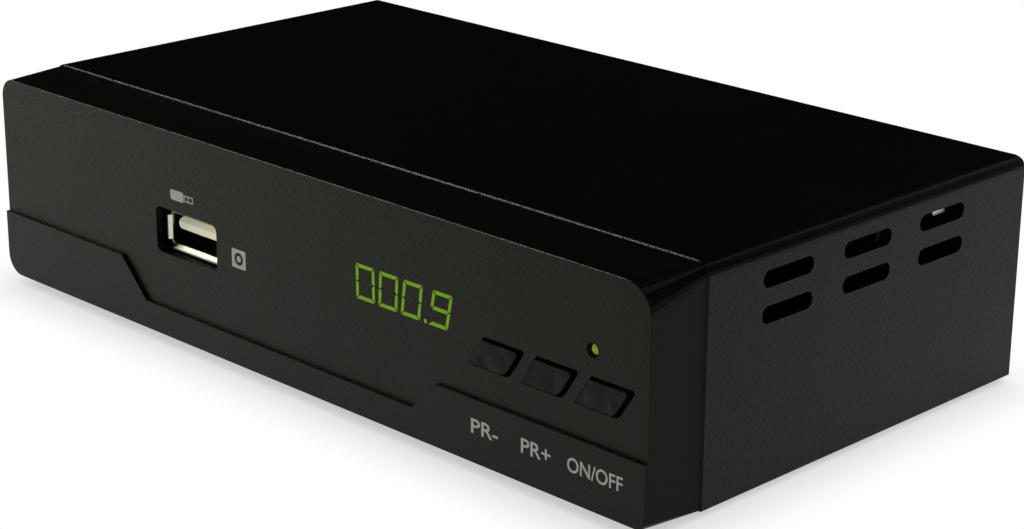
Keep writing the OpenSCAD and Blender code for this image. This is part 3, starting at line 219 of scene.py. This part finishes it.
class ReceiverSizes(bpy.types.PropertyGroup):
    """Sizes that the finishes and the printed signs are made to."""
    small_edge: bpy.props.FloatProperty(
        name="Small edge", description="Rounding of the buttons' and sockets' edges",
        default=0.14 * MM, min=0.02 * MM, max=0.5 * MM, precision=5, subtype="DISTANCE", unit="LENGTH")
    case_grain: bpy.props.FloatProperty(
        name="Case grain", description="Size of one pit of the case's eroded texture",
        default=0.24 * MM, min=0.05 * MM, max=2 * MM, precision=5, subtype="DISTANCE", unit="LENGTH")
    button_grain: bpy.props.FloatProperty(
        name="Button grain", description="Size of one patch of the buttons' worn texture",
        default=3 * MM, min=0.05 * MM, max=6 * MM, precision=5, subtype="DISTANCE", unit="LENGTH")
    print_height: bpy.props.FloatProperty(
        name="Print height", description="Height of the capitals under the buttons",
        default=2.25 * MM, min=1 * MM, max=5 * MM, precision=5, subtype="DISTANCE", unit="LENGTH")
    print_film: bpy.props.FloatProperty(
        name="Print film", description="Thickness of the printed ink",
        default=0.03 * MM, min=0.01 * MM, max=0.1 * MM, precision=5, subtype="DISTANCE", unit="LENGTH")


class ReceiverColours(bpy.types.PropertyGroup):
    """Colours of the pieces."""
    cover: bpy.props.FloatVectorProperty(
        name="Cover", description="Black of the cover, tray and rear panel",
        subtype="COLOR", size=4, min=0, max=1, default=linear("#040404"))
    bezel: bpy.props.FloatVectorProperty(
        name="Bezel", description="Black of the tapering nose",
        subtype="COLOR", size=4, min=0, max=1, default=linear("#060605"))
    plate: bpy.props.FloatVectorProperty(
        name="Plate", description="Smoked black of the front plate",
        subtype="COLOR", size=4, min=0, max=1, default=linear("#060605"))
    button: bpy.props.FloatVectorProperty(
        name="Buttons", description="Black of the push buttons",
        subtype="COLOR", size=4, min=0, max=1, default=linear("#0a0a09"))
    ink: bpy.props.FloatVectorProperty(
        name="Ink", description="Pale grey of the printed signs",
        subtype="COLOR", size=4, min=0, max=1, default=linear("#8e9290"))
    digits: bpy.props.FloatVectorProperty(
        name="Digits", description="Green of the lit display segments",
        subtype="COLOR", size=4, min=0, max=1, default=linear("#5c840a"))
    light: bpy.props.FloatVectorProperty(
        name="Status light", description="Yellow green of the status light",
        subtype="COLOR", size=4, min=0, max=1, default=linear("#7f9a22"))
    laminate: bpy.props.FloatVectorProperty(
        name="Boards", description="Green of the boards' solder resist",
        subtype="COLOR", size=4, min=0, max=1, default=linear("#1d5a35"))
    ivory: bpy.props.FloatVectorProperty(
        name="Nylon", description="Ivory of the port's tongue",
        subtype="COLOR", size=4, min=0, max=1, default=linear("#f0f4de"))
    floor: bpy.props.FloatVectorProperty(
        name="Floor", description="White of the studio floor",
        subtype="COLOR", size=4, min=0, max=1, default=linear("#ffffff"))


# ---------------------------------------------------------------- finishes
# Sizes and depths of their patterns are in millimetres.

def eroded_abs(name, colour, grain, specular, tint, pits=0.07, detail=1.5, side_rough=None):
    """Black plastic from a spark eroded mould: a dull, evenly mottled skin of shallow pits that breaks up
    reflections, with slow drifts of gloss where the melt flowed. The pits are drawn coarser than real ones, so
    that they show."""
    # The gloss drifts only a little, because a skin glossier than this shows blotches in a denoised render.
    rough, drift, flow_size = 0.3, 0.02, 22
    material, tree, where = begin(name)
    pit = add(tree, "ShaderNodeTexNoise", {"Vector": where, "Scale": per_mm(grain), "Detail": detail,
                                           "Roughness": 0.62}, 0)
    flow = add(tree, "ShaderNodeTexNoise", {"Vector": where, "Scale": per_mm(flow_size), "Detail": 3.0}, 0)
    # Rounded edges are rubbed smooth, so that they draw clear lines of light.
    facing = add(tree, "ShaderNodeSeparateXYZ", {0: add(tree, "ShaderNodeNewGeometry", out="Normal")})
    sideways = add(tree, "ShaderNodeMath", {0: facing.outputs["X"]}, 0, operation="ABSOLUTE")
    turned = add(tree, "ShaderNodeMath", {0: sideways, 1: facing.outputs["Z"]}, 0, operation="MULTIPLY")
    worn = add(tree, "ShaderNodeMapRange", {"Value": turned, "From Min": 0.05, "From Max": 0.3,
                                            "To Min": 1.0, "To Max": 0.1}, 0)
    relief = add(tree, "ShaderNodeBump", {"Strength": worn, "Distance": pits * MM, "Height": pit}, 0)
    mottle = add(tree, "ShaderNodeMapRange", {"Value": pit, **NOISE_RANGE}, 0)
    body = add(tree, "ShaderNodeMix", {0: mottle, 6: shade(colour, 0.3), 7: shade(colour, 1.8)}, 2,
               data_type="RGBA")
    gloss = add(tree, "ShaderNodeMapRange", {"Value": flow, **NOISE_RANGE,
                                             "To Min": rough - drift, "To Max": rough + drift}, 0)
    if side_rough:
        # The sides are drafted in the mould and come out duller than the front.
        beside = add(tree, "ShaderNodeMapRange", {"Value": sideways, "From Min": 0.97, "From Max": 0.995}, 0)
        gloss = add(tree, "ShaderNodeMix", {0: beside, 2: gloss, 3: side_rough}, 0)
    return end(material, Base_Color=body, Roughness=gloss, Normal=relief, IOR=1.53,
               Specular_IOR_Level=specular, Specular_Tint=tint)


def moulded(name, colour, grain=0.6, rough=0.4, specular=0.5, drift=0.12, depth=0.01):
    """Plainly moulded plastic, ceramic or rubber: even colour with a faint drift, a soft sheen and a fine
    orange peel, drawn coarser than a real one so that it shows."""
    flow_size = 9
    material, tree, where = begin(name)
    peel = add(tree, "ShaderNodeTexNoise", {"Vector": where, "Scale": per_mm(grain), "Detail": 2.0}, 0)
    flow = add(tree, "ShaderNodeTexNoise", {"Vector": where, "Scale": per_mm(flow_size), "Detail": 3.0}, 0)
    relief = add(tree, "ShaderNodeBump", {"Strength": 1.0, "Distance": depth * MM, "Height": peel}, 0)
    body = add(tree, "ShaderNodeMix", {0: flow, 6: shade(colour, 1 - drift), 7: shade(colour, 1 + drift)}, 2,
               data_type="RGBA")
    gloss = add(tree, "ShaderNodeMapRange", {"Value": peel, **NOISE_RANGE,
                                             "To Min": rough - 0.05, "To Max": rough + 0.05}, 0)
    return end(material, Base_Color=body, Roughness=gloss, Normal=relief, IOR=1.5, Specular_IOR_Level=specular)


def plated(name, colour, rough=0.25, streak=(0.25, 4.0, 4.0), depth=0.002, inside=None):
    """Rolled, drawn or plated metal: bright, with lines along the way it was worked and cloudy patches. The
    lines are drawn coarser than real ones, so that they show. Where inside gives a place in y, shade is painted
    into the colour of the metal behind it, which turns dark."""
    line_size, cloud_size, painted_shade_run = 0.5, 5, 0.4 * MM
    material, tree, where = begin(name)
    along = add(tree, "ShaderNodeMapping", {"Vector": where, "Scale": streak}, 0)
    line = add(tree, "ShaderNodeTexNoise", {"Vector": along, "Scale": per_mm(line_size), "Detail": 3.0}, 0)
    cloud = add(tree, "ShaderNodeTexNoise", {"Vector": where, "Scale": per_mm(cloud_size), "Detail": 4.0}, 0)
    relief = add(tree, "ShaderNodeBump", {"Strength": 1.0, "Distance": depth * MM, "Height": line}, 0)
    body = add(tree, "ShaderNodeMix", {0: cloud, 6: shade(colour, 0.8), 7: colour}, 2, data_type="RGBA")
    if inside is not None:
        # Painted shade: behind the place given by inside, the colour runs down to a dark copy of the metal's
        # own, standing in for the shade deep in a hollow.
        deep = add(tree, "ShaderNodeSeparateXYZ", {0: where}, "Y")
        painted_shade = add(tree, "ShaderNodeMapRange", {"Value": deep, "From Min": inside,
                                                   "From Max": inside + painted_shade_run}, 0)
        body = add(tree, "ShaderNodeMix", {0: painted_shade, 6: body, 7: shade(colour, 0.06)}, 2, data_type="RGBA")
    gloss = add(tree, "ShaderNodeMapRange", {"Value": cloud, **NOISE_RANGE,
                                             "To Min": rough + 0.08, "To Max": rough - 0.04}, 0)
    return end(material, Base_Color=body, Metallic=1.0, Roughness=gloss, Normal=relief)


def lit_diffuser(name, colour, strength):
    """Frosted light guide or lens, lit from behind: a soft glow with a faint grain, dark where unlit. The frost
    is drawn coarser than a real one, so that it shows."""
    frost_size = 0.5
    material, tree, where = begin(name)
    frost = add(tree, "ShaderNodeTexNoise", {"Vector": where, "Scale": per_mm(frost_size), "Detail": 2.0}, 0)
    glow = add(tree, "ShaderNodeMix", {0: frost, 6: shade(colour, 0.82), 7: shade(colour, 1.12)}, 2,
               data_type="RGBA")
    gloss = add(tree, "ShaderNodeMapRange", {"Value": frost, **NOISE_RANGE, "To Min": 0.3, "To Max": 0.45}, 0)
    return end(material, Base_Color=shade(colour, 0.25), Roughness=gloss, IOR=1.5, Specular_IOR_Level=0.1,
               Emission_Color=glow, Emission_Strength=strength)


def etched_laminate(name, colour):
    """Glass fibre laminate under green solder resist: etched copper shows as paler tracks below a soft gloss.
    The tracks are drawn wider than real ones, so that they show."""
    track_pitch, track_depth, weave_size = 3.2, 0.03, 0.6
    material, tree, where = begin(name)
    field = add(tree, "ShaderNodeTexVoronoi", {"Vector": where, "Scale": per_mm(track_pitch),
                                               "Randomness": 0.75}, "Distance", feature="DISTANCE_TO_EDGE")
    track = add(tree, "ShaderNodeMapRange", {"Value": field, "From Min": 0.05, "From Max": 0.07,
                                             "To Min": 1.0, "To Max": 0.0}, 0)
    weave = add(tree, "ShaderNodeTexNoise", {"Vector": where, "Scale": per_mm(weave_size), "Detail": 2.0}, 0)
    resist = add(tree, "ShaderNodeMix", {0: weave, 6: shade(colour, 0.85), 7: shade(colour, 1.1)}, 2,
                 data_type="RGBA")
    body = add(tree, "ShaderNodeMix", {0: track, 6: resist, 7: shade(colour, 1.7)}, 2, data_type="RGBA")
    relief = add(tree, "ShaderNodeBump", {"Strength": 0.6, "Distance": track_depth * MM, "Height": track}, 0)
    gloss = add(tree, "ShaderNodeMapRange", {"Value": weave, **NOISE_RANGE, "To Min": 0.28, "To Max": 0.4}, 0)
    return end(material, Base_Color=body, Roughness=gloss, Normal=relief, IOR=1.5)


def striped_ribbon(name, film, core):
    """Polyester ribbon with flat conductors laminated in: grey stripes in a pale blue film."""
    stripe_pitch, scuff_size = 1, 2
    # A wave pattern of scale one turns by twenty radians in each metre.
    stripe_scale = per_mm(stripe_pitch) * 2 * math.pi / 20
    material, tree, where = begin(name)
    stripe = add(tree, "ShaderNodeTexWave", {"Vector": where, "Scale": stripe_scale, "Distortion": 0.0}, 0,
                 wave_type="BANDS", bands_direction="X")
    cored = add(tree, "ShaderNodeMapRange", {"Value": stripe, "From Min": 0.4, "From Max": 0.6}, 0)
    body = add(tree, "ShaderNodeMix", {0: cored, 6: film, 7: core}, 2, data_type="RGBA")
    scuff = add(tree, "ShaderNodeTexNoise", {"Vector": where, "Scale": per_mm(scuff_size), "Detail": 3.0}, 0)
    gloss = add(tree, "ShaderNodeMapRange", {"Value": scuff, **NOISE_RANGE, "To Min": 0.22, "To Max": 0.36}, 0)
    return end(material, Base_Color=body, Roughness=gloss, IOR=1.6)


def capped_sleeve(name, sleeve, can):
    """Aluminium can in a shrunk sleeve: bare matt metal shows on top, glossy vinyl round the side. The vinyl's
    flecks are drawn coarser than real ones, so that they show."""
    fleck_size = 0.8
    material, tree, where = begin(name)
    up = add(tree, "ShaderNodeSeparateXYZ", {0: add(tree, "ShaderNodeNewGeometry", out="Normal")}, "Z")
    bare = add(tree, "ShaderNodeMapRange", {"Value": up, "From Min": 0.9, "From Max": 0.97}, 0)
    fleck = add(tree, "ShaderNodeTexNoise", {"Vector": where, "Scale": per_mm(fleck_size), "Detail": 3.0}, 0)
    vinyl = add(tree, "ShaderNodeMix", {0: fleck, 6: shade(sleeve, 0.85), 7: shade(sleeve, 1.15)}, 2,
                data_type="RGBA")
    body = add(tree, "ShaderNodeMix", {0: bare, 6: vinyl, 7: can}, 2, data_type="RGBA")
    gloss = add(tree, "ShaderNodeMapRange", {"Value": fleck, **NOISE_RANGE, "To Min": 0.3, "To Max": 0.42}, 0)
    return end(material, Base_Color=body, Metallic=bare, Roughness=gloss, IOR=1.54)


def printed_ink(name, colour):
    """Screen printed ink: an even, slightly chalky film with pinholes from the screen, drawn coarser than real
    ones, so that they show."""
    pinhole_size = 0.25
    material, tree, where = begin(name)
    pinhole = add(tree, "ShaderNodeTexNoise", {"Vector": where, "Scale": per_mm(pinhole_size),
                                               "Detail": 2.0}, 0)
    body = add(tree, "ShaderNodeMix", {0: pinhole, 6: shade(colour, 0.8), 7: shade(colour, 1.06)}, 2,
               data_type="RGBA")
    gloss = add(tree, "ShaderNodeMapRange", {"Value": pinhole, **NOISE_RANGE, "To Min": 0.5, "To Max": 0.65}, 0)
    return end(material, Base_Color=body, Roughness=gloss, IOR=1.5, Specular_IOR_Level=0.3)


# ---------------------------------------------------------------- printed signs

def as_print(name, curve, left, right, low, high, face):
    """A flat curve turned to a film of ink on the plane y = face: its box is fitted between left and right in x
    and between low and high in z."""
    draft = bpy.data.objects.new(name + "_draft", curve)
    bpy.context.scene.collection.objects.link(draft)
    bpy.context.view_layer.update()
    seen = draft.evaluated_get(bpy.context.evaluated_depsgraph_get())
    mesh = bpy.data.meshes.new_from_object(seen)
    bpy.data.objects.remove(draft)
    if not mesh.polygons:
        raise RuntimeError("the sign " + name + " has no faces")
    least = [min(v.co[i] for v in mesh.vertices) for i in range(3)]
    most = [max(v.co[i] for v in mesh.vertices) for i in range(3)]
    film = bpy.context.scene.receiver_sizes.print_film
    for v in mesh.vertices:
        across, up, out = [(v.co[i] - least[i]) / (most[i] - least[i]) for i in range(3)]
        v.co = (left + across * (right - left), face - out * film, low + up * (high - low))
    piece = bpy.data.objects.new(name, mesh)
    bpy.context.scene.collection.objects.link(piece)
    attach(piece, "case")
    return piece


def word_curve(text):
    """Letters as a flat curve, a little thickened."""
    curve = bpy.data.curves.new("word", "FONT")
    curve.body = text
    curve.offset = LEGEND_WEIGHT
    curve.extrude = DRAFT_DEPTH
    curve.resolution_u = 6
    return curve


def outline_curve(name, loops):
    """Closed loops as a flat filled curve; a loop inside another is a hole."""
    curve = bpy.data.curves.new(name, "CURVE")
    curve.dimensions = "2D"
    curve.fill_mode = "BOTH"
    curve.extrude = DRAFT_DEPTH
    for loop in loops:
        spline = curve.splines.new("POLY")
        spline.points.add(len(loop) - 1)
        for point, (x, y) in zip(spline.points, loop):
            point.co = (x, y, 0, 1)
        spline.use_cyclic_u = True
    return curve


def rectangle(x0, y0, x1, y1, r=0.0, steps=5):
    """Corner points of a rectangle, with rounded corners where r is given."""
    if not r:
        return [(x0, y0), (x1, y0), (x1, y1), (x0, y1)]
    corners = ((x1 - r, y0 + r, -90), (x1 - r, y1 - r, 0), (x0 + r, y1 - r, 90), (x0 + r, y0 + r, 180))
    points = []
    for cx, cy, first in corners:
        for i in range(steps + 1):
            a = math.radians(first + 90 * i / steps)
            points.append((cx + r * math.cos(a), cy + r * math.sin(a)))
    return points


def ring(cx, cy, r, steps=28):
    """Points of a circle."""
    turns = [2 * math.pi * i / steps for i in range(steps)]
    return [(cx + r * math.cos(a), cy + r * math.sin(a)) for a in turns]


# ---------------------------------------------------------------- operators

class RECEIVER_OT_case(bpy.types.Operator):
    """Finishes the cover, tray, rear panel and nose"""
    bl_idname = "receiver.case"
    bl_label = "Case"

    def execute(self, context):
        colours = context.scene.receiver_colours
        grain = context.scene.receiver_sizes.case_grain / MM
        # Cover, tray and rear panel: black, with a dull and faintly green sheen.
        dress(eroded_abs("spark_eroded_abs_cover", list(colours.cover), grain, specular=0.094,
                         tint=(0.84, 1.0, 0.93, 1.0)), "top_cover", "bottom_tray", "rear_panel")
        # Nose: black, with a warmer and slightly brighter sheen that is dull at the sides.
        dress(eroded_abs("spark_eroded_abs_nose", list(colours.bezel), grain, specular=0.115,
                         tint=(0.9, 1.0, 0.74, 1.0), side_rough=0.68), "front_bezel")
        return {"FINISHED"}


class RECEIVER_OT_front(bpy.types.Operator):
    """Finishes the front plate, the buttons, the lit digits and the status light"""
    bl_idname = "receiver.front"
    bl_label = "Front plate and buttons"

    def execute(self, context):
        sizes, colours = context.scene.receiver_sizes, context.scene.receiver_colours
        buttons = ("button_ch_down", "button_ch_up", "button_power")
        # Smoked plate: the same sheen as the nose that holds it.
        dress(eroded_abs("spark_eroded_smoked_styrene", list(colours.plate), sizes.case_grain / MM,
                         specular=0.115, tint=(0.9, 1.0, 0.74, 1.0)), "front_plate")
        # Buttons: handled caps, with broad patches rubbed to other tones.
        dress(eroded_abs("spark_eroded_abs_buttons", list(colours.button), sizes.button_grain / MM,
                         specular=0.08, tint=(0.88, 1.0, 0.8, 1.0), pits=0.4, detail=1.0), *buttons)
        soften(sizes.small_edge, *buttons)
        # Light guide: evenly lit green bars. Lens: a yellower and weaker round light.
        dress(lit_diffuser("frosted_light_guide", list(colours.digits), strength=1.0), "display_segments")
        dress(lit_diffuser("cast_epoxy_lens", list(colours.light), strength=0.62), "status_led")
        return {"FINISHED"}


class RECEIVER_OT_signs(bpy.types.Operator):
    """Prints the button legends, the memory stick sign and the small square sign"""
    bl_idname = "receiver.signs"
    bl_label = "Printed signs"

    def execute(self, context):
        sizes, colours = context.scene.receiver_sizes, context.scene.receiver_colours
        ink = printed_ink("screen_printed_ink", list(colours.ink))
        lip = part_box("front_bezel")[0].y
        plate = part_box("front_plate")[0].y
        head = LEGEND_FOOT + sizes.print_height
        made = [as_print(name, word_curve(word), left * MM, right * MM, LEGEND_FOOT, head, lip)
                for name, word, left, right in LEGENDS]
        # A stick, its plug, and the plug's two holes.
        stick = [rectangle(0, 0, 34, 17, 4), rectangle(36, 3, 58, 14), rectangle(38, 5, 56, 12),
                 rectangle(44, 9.4, 48, 11), rectangle(44, 6, 48, 7.6)]
        made.append(as_print("sign_memory_stick", outline_curve("stick", stick), *STICK_PLACE, plate))
        # A filled square with a ring left open in it.
        square = [rectangle(0, 0, 34, 31, 2), ring(17, 15.5, 10.5), ring(17, 15.5, 5)]
        made.append(as_print("sign_square", outline_curve("square", square), *SQUARE_PLACE, plate))
        for piece in made:
            piece.data.materials.append(ink)
        return {"FINISHED"}


class RECEIVER_OT_port(bpy.types.Operator):
    """Finishes the memory stick port"""
    bl_idname = "receiver.port"
    bl_label = "Memory stick port"

    def execute(self, context):
        colours = context.scene.receiver_colours
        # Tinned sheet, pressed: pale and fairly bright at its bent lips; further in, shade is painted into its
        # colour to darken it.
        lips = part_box("usb_shell")[0].y + PORT_LIP
        dress(plated("pressed_tinned_sheet", linear("#cdd0ba"), rough=0.3, inside=lips), "usb_shell")
        # Ivory nylon: soft sheen, slightly warm.
        dress(moulded("moulded_ivory_nylon", list(colours.ivory), grain=0.5, rough=0.45), "usb_tongue")
        # Gold flash over brass: warm, smooth wiping faces.
        dress(plated("gold_flashed_contacts", linear("#d9b45e"), rough=0.2), "usb_contacts")
        soften(PORT_EDGE, "usb_tongue", "usb_shell", segments=2)
        return {"FINISHED"}


class RECEIVER_OT_boards(bpy.types.Operator):
    """Finishes the two boards and everything soldered to them inside the case"""
    bl_idname = "receiver.boards"
    bl_label = "Boards"

    def execute(self, context):
        colours = context.scene.receiver_colours
        # Boards: green resist with a soft gloss over paler tracks.
        dress(etched_laminate("etched_glass_laminate", list(colours.laminate)), "main_board", "front_board")
        # Transfer moulded epoxy: dead black with a fine matt tooth.
        dress(moulded("transfer_moulded_epoxy", linear("#1c1c1e"), grain=0.25, rough=0.55, specular=0.4,
                      drift=0.1, depth=0.02),
              "main_chip", "memory_chips", "power_chips", "ir_receiver", "display_module")
        # Extruded aluminium, clear anodised: satin, with fine lines along the fins.
        dress(plated("extruded_anodised_aluminium", linear("#b9bcbe"), rough=0.38, streak=(4.0, 0.25, 4.0),
                     depth=0.004), "heat_sink")
        # Sleeved cans: dark blue vinyl round bare aluminium tops.
        dress(capped_sleeve("sleeved_aluminium_can", linear("#1b2233"), linear("#c6c8c9")), "capacitors")
        # Sintered ceramic and ferrite: chalky tan with small specks.
        dress(moulded("sintered_ceramic", linear("#9a8d78"), grain=0.3, rough=0.6, specular=0.4, drift=0.2,
                      depth=0.02), "small_parts", "chokes")
        # Hot tinned sheet: pale grey, cloudy and fairly bright.
        dress(plated("hot_tinned_sheet", linear("#c9c9c4"), rough=0.28),
              "tuner_can", "tuner_lid", "crystal", "switch_bodies")
        # White nylon: milky, with a soft sheen.
        dress(moulded("moulded_white_nylon", linear("#e4e2d8"), grain=0.5, rough=0.42),
              "front_connector", "main_connector")
        # Acetal plungers: black and waxy.
        dress(moulded("moulded_black_acetal", linear("#202021"), rough=0.35),
              "plunger_ch_down", "plunger_ch_up", "plunger_power")
        # Ribbon: grey conductors seen through a pale film.
        dress(striped_ribbon("laminated_polyester_ribbon", linear("#dfe4ea"), linear("#9da6ad")),
              "ribbon_cable")
        return {"FINISHED"}


class RECEIVER_OT_sockets(bpy.types.Operator):
    """Finishes the sockets along the back"""
    bl_idname = "receiver.sockets"
    bl_label = "Rear sockets"

    def execute(self, context):
        sizes = context.scene.receiver_sizes
        # Glass filled polyester: black, matt, with a faint flow.
        dress(moulded("moulded_black_polyester", linear("#1a1a1b"), grain=0.4, rough=0.48, specular=0.45,
                      depth=0.015), "scart_body", "inlet_body", "hdmi_tongue")
        # Orange PVC: even and semi gloss.
        dress(moulded("moulded_orange_pvc", linear("#d96a1c"), rough=0.36), "coax_body")
        # Natural polyethylene round the aerial contacts: milky white.
        dress(moulded("moulded_natural_polyethylene", linear("#e6e4da")),
              "aerial_in_insulator", "aerial_out_insulator")
        # Bright nickel over brass, turned: fine rings, mirror like.
        dress(plated("turned_bright_nickel", linear("#d3cec2"), rough=0.16, streak=(4.0, 0.4, 4.0)),
              "aerial_in_sleeve", "aerial_in_contact", "aerial_out_sleeve", "aerial_out_pin",
              "coax_sleeve", "coax_contact", "inlet_pin")
        # Tinned shell of the picture socket: pressed sheet, clouded.
        dress(plated("pressed_tinned_shell", linear("#cfcec8"), rough=0.26), "hdmi_shell")
        # Brass springs with a thin gold flash: warm and bright.
        dress(plated("gold_flashed_brass", linear("#cfa95a"), rough=0.24), "scart_contacts")
        soften(sizes.small_edge, "scart_body", "coax_body", "inlet_body", segments=2)
        return {"FINISHED"}


class RECEIVER_OT_fixings(bpy.types.Operator):
    """Finishes the screws and the rubber feet"""
    bl_idname = "receiver.fixings"
    bl_label = "Screws and feet"

    def execute(self, context):
        # Black zinc on steel: dark, slightly oily metal.
        dress(plated("black_zinc_steel", linear("#4a4a4c"), rough=0.34), "case_screws", "rear_screws")
        # Bright zinc on steel for the screws inside: pale and fairly bright.
        dress(plated("bright_zinc_steel", linear("#b9bbbd"), rough=0.3), "board_screws", "front_board_screws")
        # Pressed rubber: dark grey, dry and matt.
        dress(moulded("pressed_rubber", linear("#232322"), grain=0.35, rough=0.75, specular=0.3, drift=0.15,
                      depth=0.03), "rubber_feet")
        soften(FOOT_EDGE, "rubber_feet", segments=2)
        return {"FINISHED"}


class RECEIVER_OT_stage(bpy.types.Operator):
    """Sets up the floor, the lamps, the dim room and the camera"""
    bl_idname = "receiver.stage"
    bl_label = "Studio"

    def execute(self, context):
        scene = context.scene
        scene.view_settings.view_transform = "Standard"
        self.floor(scene)
        # A dim, plain room, so that the top of the case mirrors darkness as a black studio gives.
        room = bpy.data.worlds.new("dim_room")
        scene.world = room
        room.use_nodes = True
        room.node_tree.nodes.clear()
        dim = add(room.node_tree, "ShaderNodeBackground", {"Color": linear("#ffffff"),
                                                           "Strength": ROOM_STRENGTH}, 0)
        add(room.node_tree, "ShaderNodeOutputWorld", {"Surface": dim})
        for lamp in LAMPS:
            self.lamp(scene, *lamp)
        self.camera(scene)
        return {"FINISHED"}

    def floor(self, scene):
        """White disc that runs far out; a soft shadow is painted on it where the object is near."""
        low = CAD_BOX[0][2] - FLOOR_DROP
        ways = [2 * math.pi * i / FLOOR_TURNS for i in range(FLOOR_TURNS)]
        mesh = bmesh.new()
        rows = [[mesh.verts.new((r * math.cos(a), r * math.sin(a), low)) for a in ways] for r in FLOOR_RINGS]
        middle = mesh.verts.new((0, 0, low))
        for i in range(FLOOR_TURNS):
            j = (i + 1) % FLOOR_TURNS
            mesh.faces.new((middle, rows[0][i], rows[0][j]))
            for inner, outer in zip(rows, rows[1:]):
                mesh.faces.new((inner[i], outer[i], outer[j], inner[j]))
        for face in mesh.faces:
            face.smooth = True
        data = bpy.data.meshes.new("studio_floor")
        mesh.to_mesh(data)
        mesh.free()
        data.materials.append(self.floor_paint(list(scene.receiver_colours.floor)))
        floor = bpy.data.objects.new("studio_floor", data)
        scene.collection.objects.link(floor)

    def floor_paint(self, colour):
        """Matt white paint: white to the eye and in reflections, with a soft shadow of the object painted in
        from ambient occlusion.
        """
        tooth_size = 3
        material, tree, where = begin("matt_white_paint")
        tooth = add(tree, "ShaderNodeTexNoise", {"Vector": where, "Scale": per_mm(tooth_size),
                                                 "Detail": 2.0}, 0)
        paint = add(tree, "ShaderNodeMix", {0: tooth, 6: shade(colour, 0.78), 7: shade(colour, 0.82)}, 2,
                    data_type="RGBA")
        matt = add(tree, "ShaderNodeBsdfDiffuse", {"Color": paint}, 0)
        # Painted shadow: near the object, the white that the eye and reflections see is darkened by ambient
        # occlusion.
        near = add(tree, "ShaderNodeAmbientOcclusion", {"Distance": SHADOW_REACH}, "AO", samples=8)
        painted_shadow = add(tree, "ShaderNodeMix", {0: near, 6: shade(colour, SHADOW_TONE), 7: colour}, 2,
                   data_type="RGBA")
        white = add(tree, "ShaderNodeEmission", {"Color": painted_shadow, "Strength": 1.0}, 0)
        path = add(tree, "ShaderNodeLightPath").outputs
        seen = add(tree, "ShaderNodeMath", {0: path["Is Camera Ray"], 1: path["Is Glossy Ray"]}, 0,
                   operation="MAXIMUM")
        seen = add(tree, "ShaderNodeMath", {0: seen, 1: path["Is Transmission Ray"]}, 0, operation="MAXIMUM")
        both = add(tree, "ShaderNodeMixShader", {0: seen, 1: matt, 2: white}, 0)
        add(tree, "ShaderNodeOutputMaterial", {"Surface": both})
        return material

    def lamp(self, scene, name, towards, distance, size, power, colour):
        """A rectangular softbox that faces the object."""
        light = bpy.data.lights.new(name, "AREA")
        light.shape = "RECTANGLE"
        light.size, light.size_y = size
        light.energy = power
        light.color = linear(colour)[:3]
        lamp = bpy.data.objects.new(name, light)
        place = LAMP_AIM + Vector(towards).normalized() * distance
        facing = (LAMP_AIM - place).to_track_quat("-Z", "Y")
        lamp.matrix_world = Matrix.Translation(place) @ facing.to_matrix().to_4x4()
        scene.collection.objects.link(lamp)

    def camera(self, scene):
        """Long lens from the front right, a little above."""
        flat = math.cos(CAMERA_RISE)
        back = Vector((math.sin(CAMERA_TURN) * flat, -math.cos(CAMERA_TURN) * flat, math.sin(CAMERA_RISE)))
        right = Vector((0, 0, 1)).cross(back).normalized()
        up = back.cross(right)
        across = math.cos(CAMERA_ROLL) * right + math.sin(CAMERA_ROLL) * up
        above = math.cos(CAMERA_ROLL) * up - math.sin(CAMERA_ROLL) * right
        lens = bpy.data.cameras.new("camera")
        lens.sensor_width = 36
        lens.lens = CAMERA_LENS
        lens.clip_start = 0.01
        lens.clip_end = 50
        view = bpy.data.objects.new("camera", lens)
        turned = Matrix((across, above, back)).transposed().to_4x4()
        view.matrix_world = Matrix.Translation(CAMERA_AIM + back * CAMERA_DISTANCE) @ turned
        scene.collection.objects.link(view)
        scene.camera = view


class RECEIVER_PT_panel(bpy.types.Panel):
    """Lists the receiver's operators, sizes and colours"""
    bl_label = "Receiver"
    bl_idname = "RECEIVER_PT_panel"
    bl_space_type = "VIEW_3D"
    bl_region_type = "UI"
    bl_category = "Receiver"

    def draw(self, context):
        for step in STEPS:
            self.layout.operator(step.bl_idname)
        for group in (context.scene.receiver_sizes, context.scene.receiver_colours):
            box = self.layout.box()
            for name in group.__annotations__:
                box.prop(group, name)


STEPS = (RECEIVER_OT_case, RECEIVER_OT_front, RECEIVER_OT_signs, RECEIVER_OT_port, RECEIVER_OT_boards,
         RECEIVER_OT_sockets, RECEIVER_OT_fixings, RECEIVER_OT_stage)
CLASSES = (ReceiverSizes, ReceiverColours) + STEPS + (RECEIVER_PT_panel,)


def register():
    """Registers the classes and gives the scene its sizes and colours."""
    for item in CLASSES:
        bpy.utils.register_class(item)
    bpy.types.Scene.receiver_sizes = bpy.props.PointerProperty(type=ReceiverSizes)
    bpy.types.Scene.receiver_colours = bpy.props.PointerProperty(type=ReceiverColours)


def unregister():
    """Takes the classes and the scene's values away again."""
    del bpy.types.Scene.receiver_colours
    del bpy.types.Scene.receiver_sizes
    for item in reversed(CLASSES):
        bpy.utils.unregister_class(item)


def main():
    """Runs every step in order."""
    register()
    for step in STEPS:
        group, name = step.bl_idname.split(".")
        getattr(getattr(bpy.ops, group), name)()


if __name__ == "__main__":
    main()
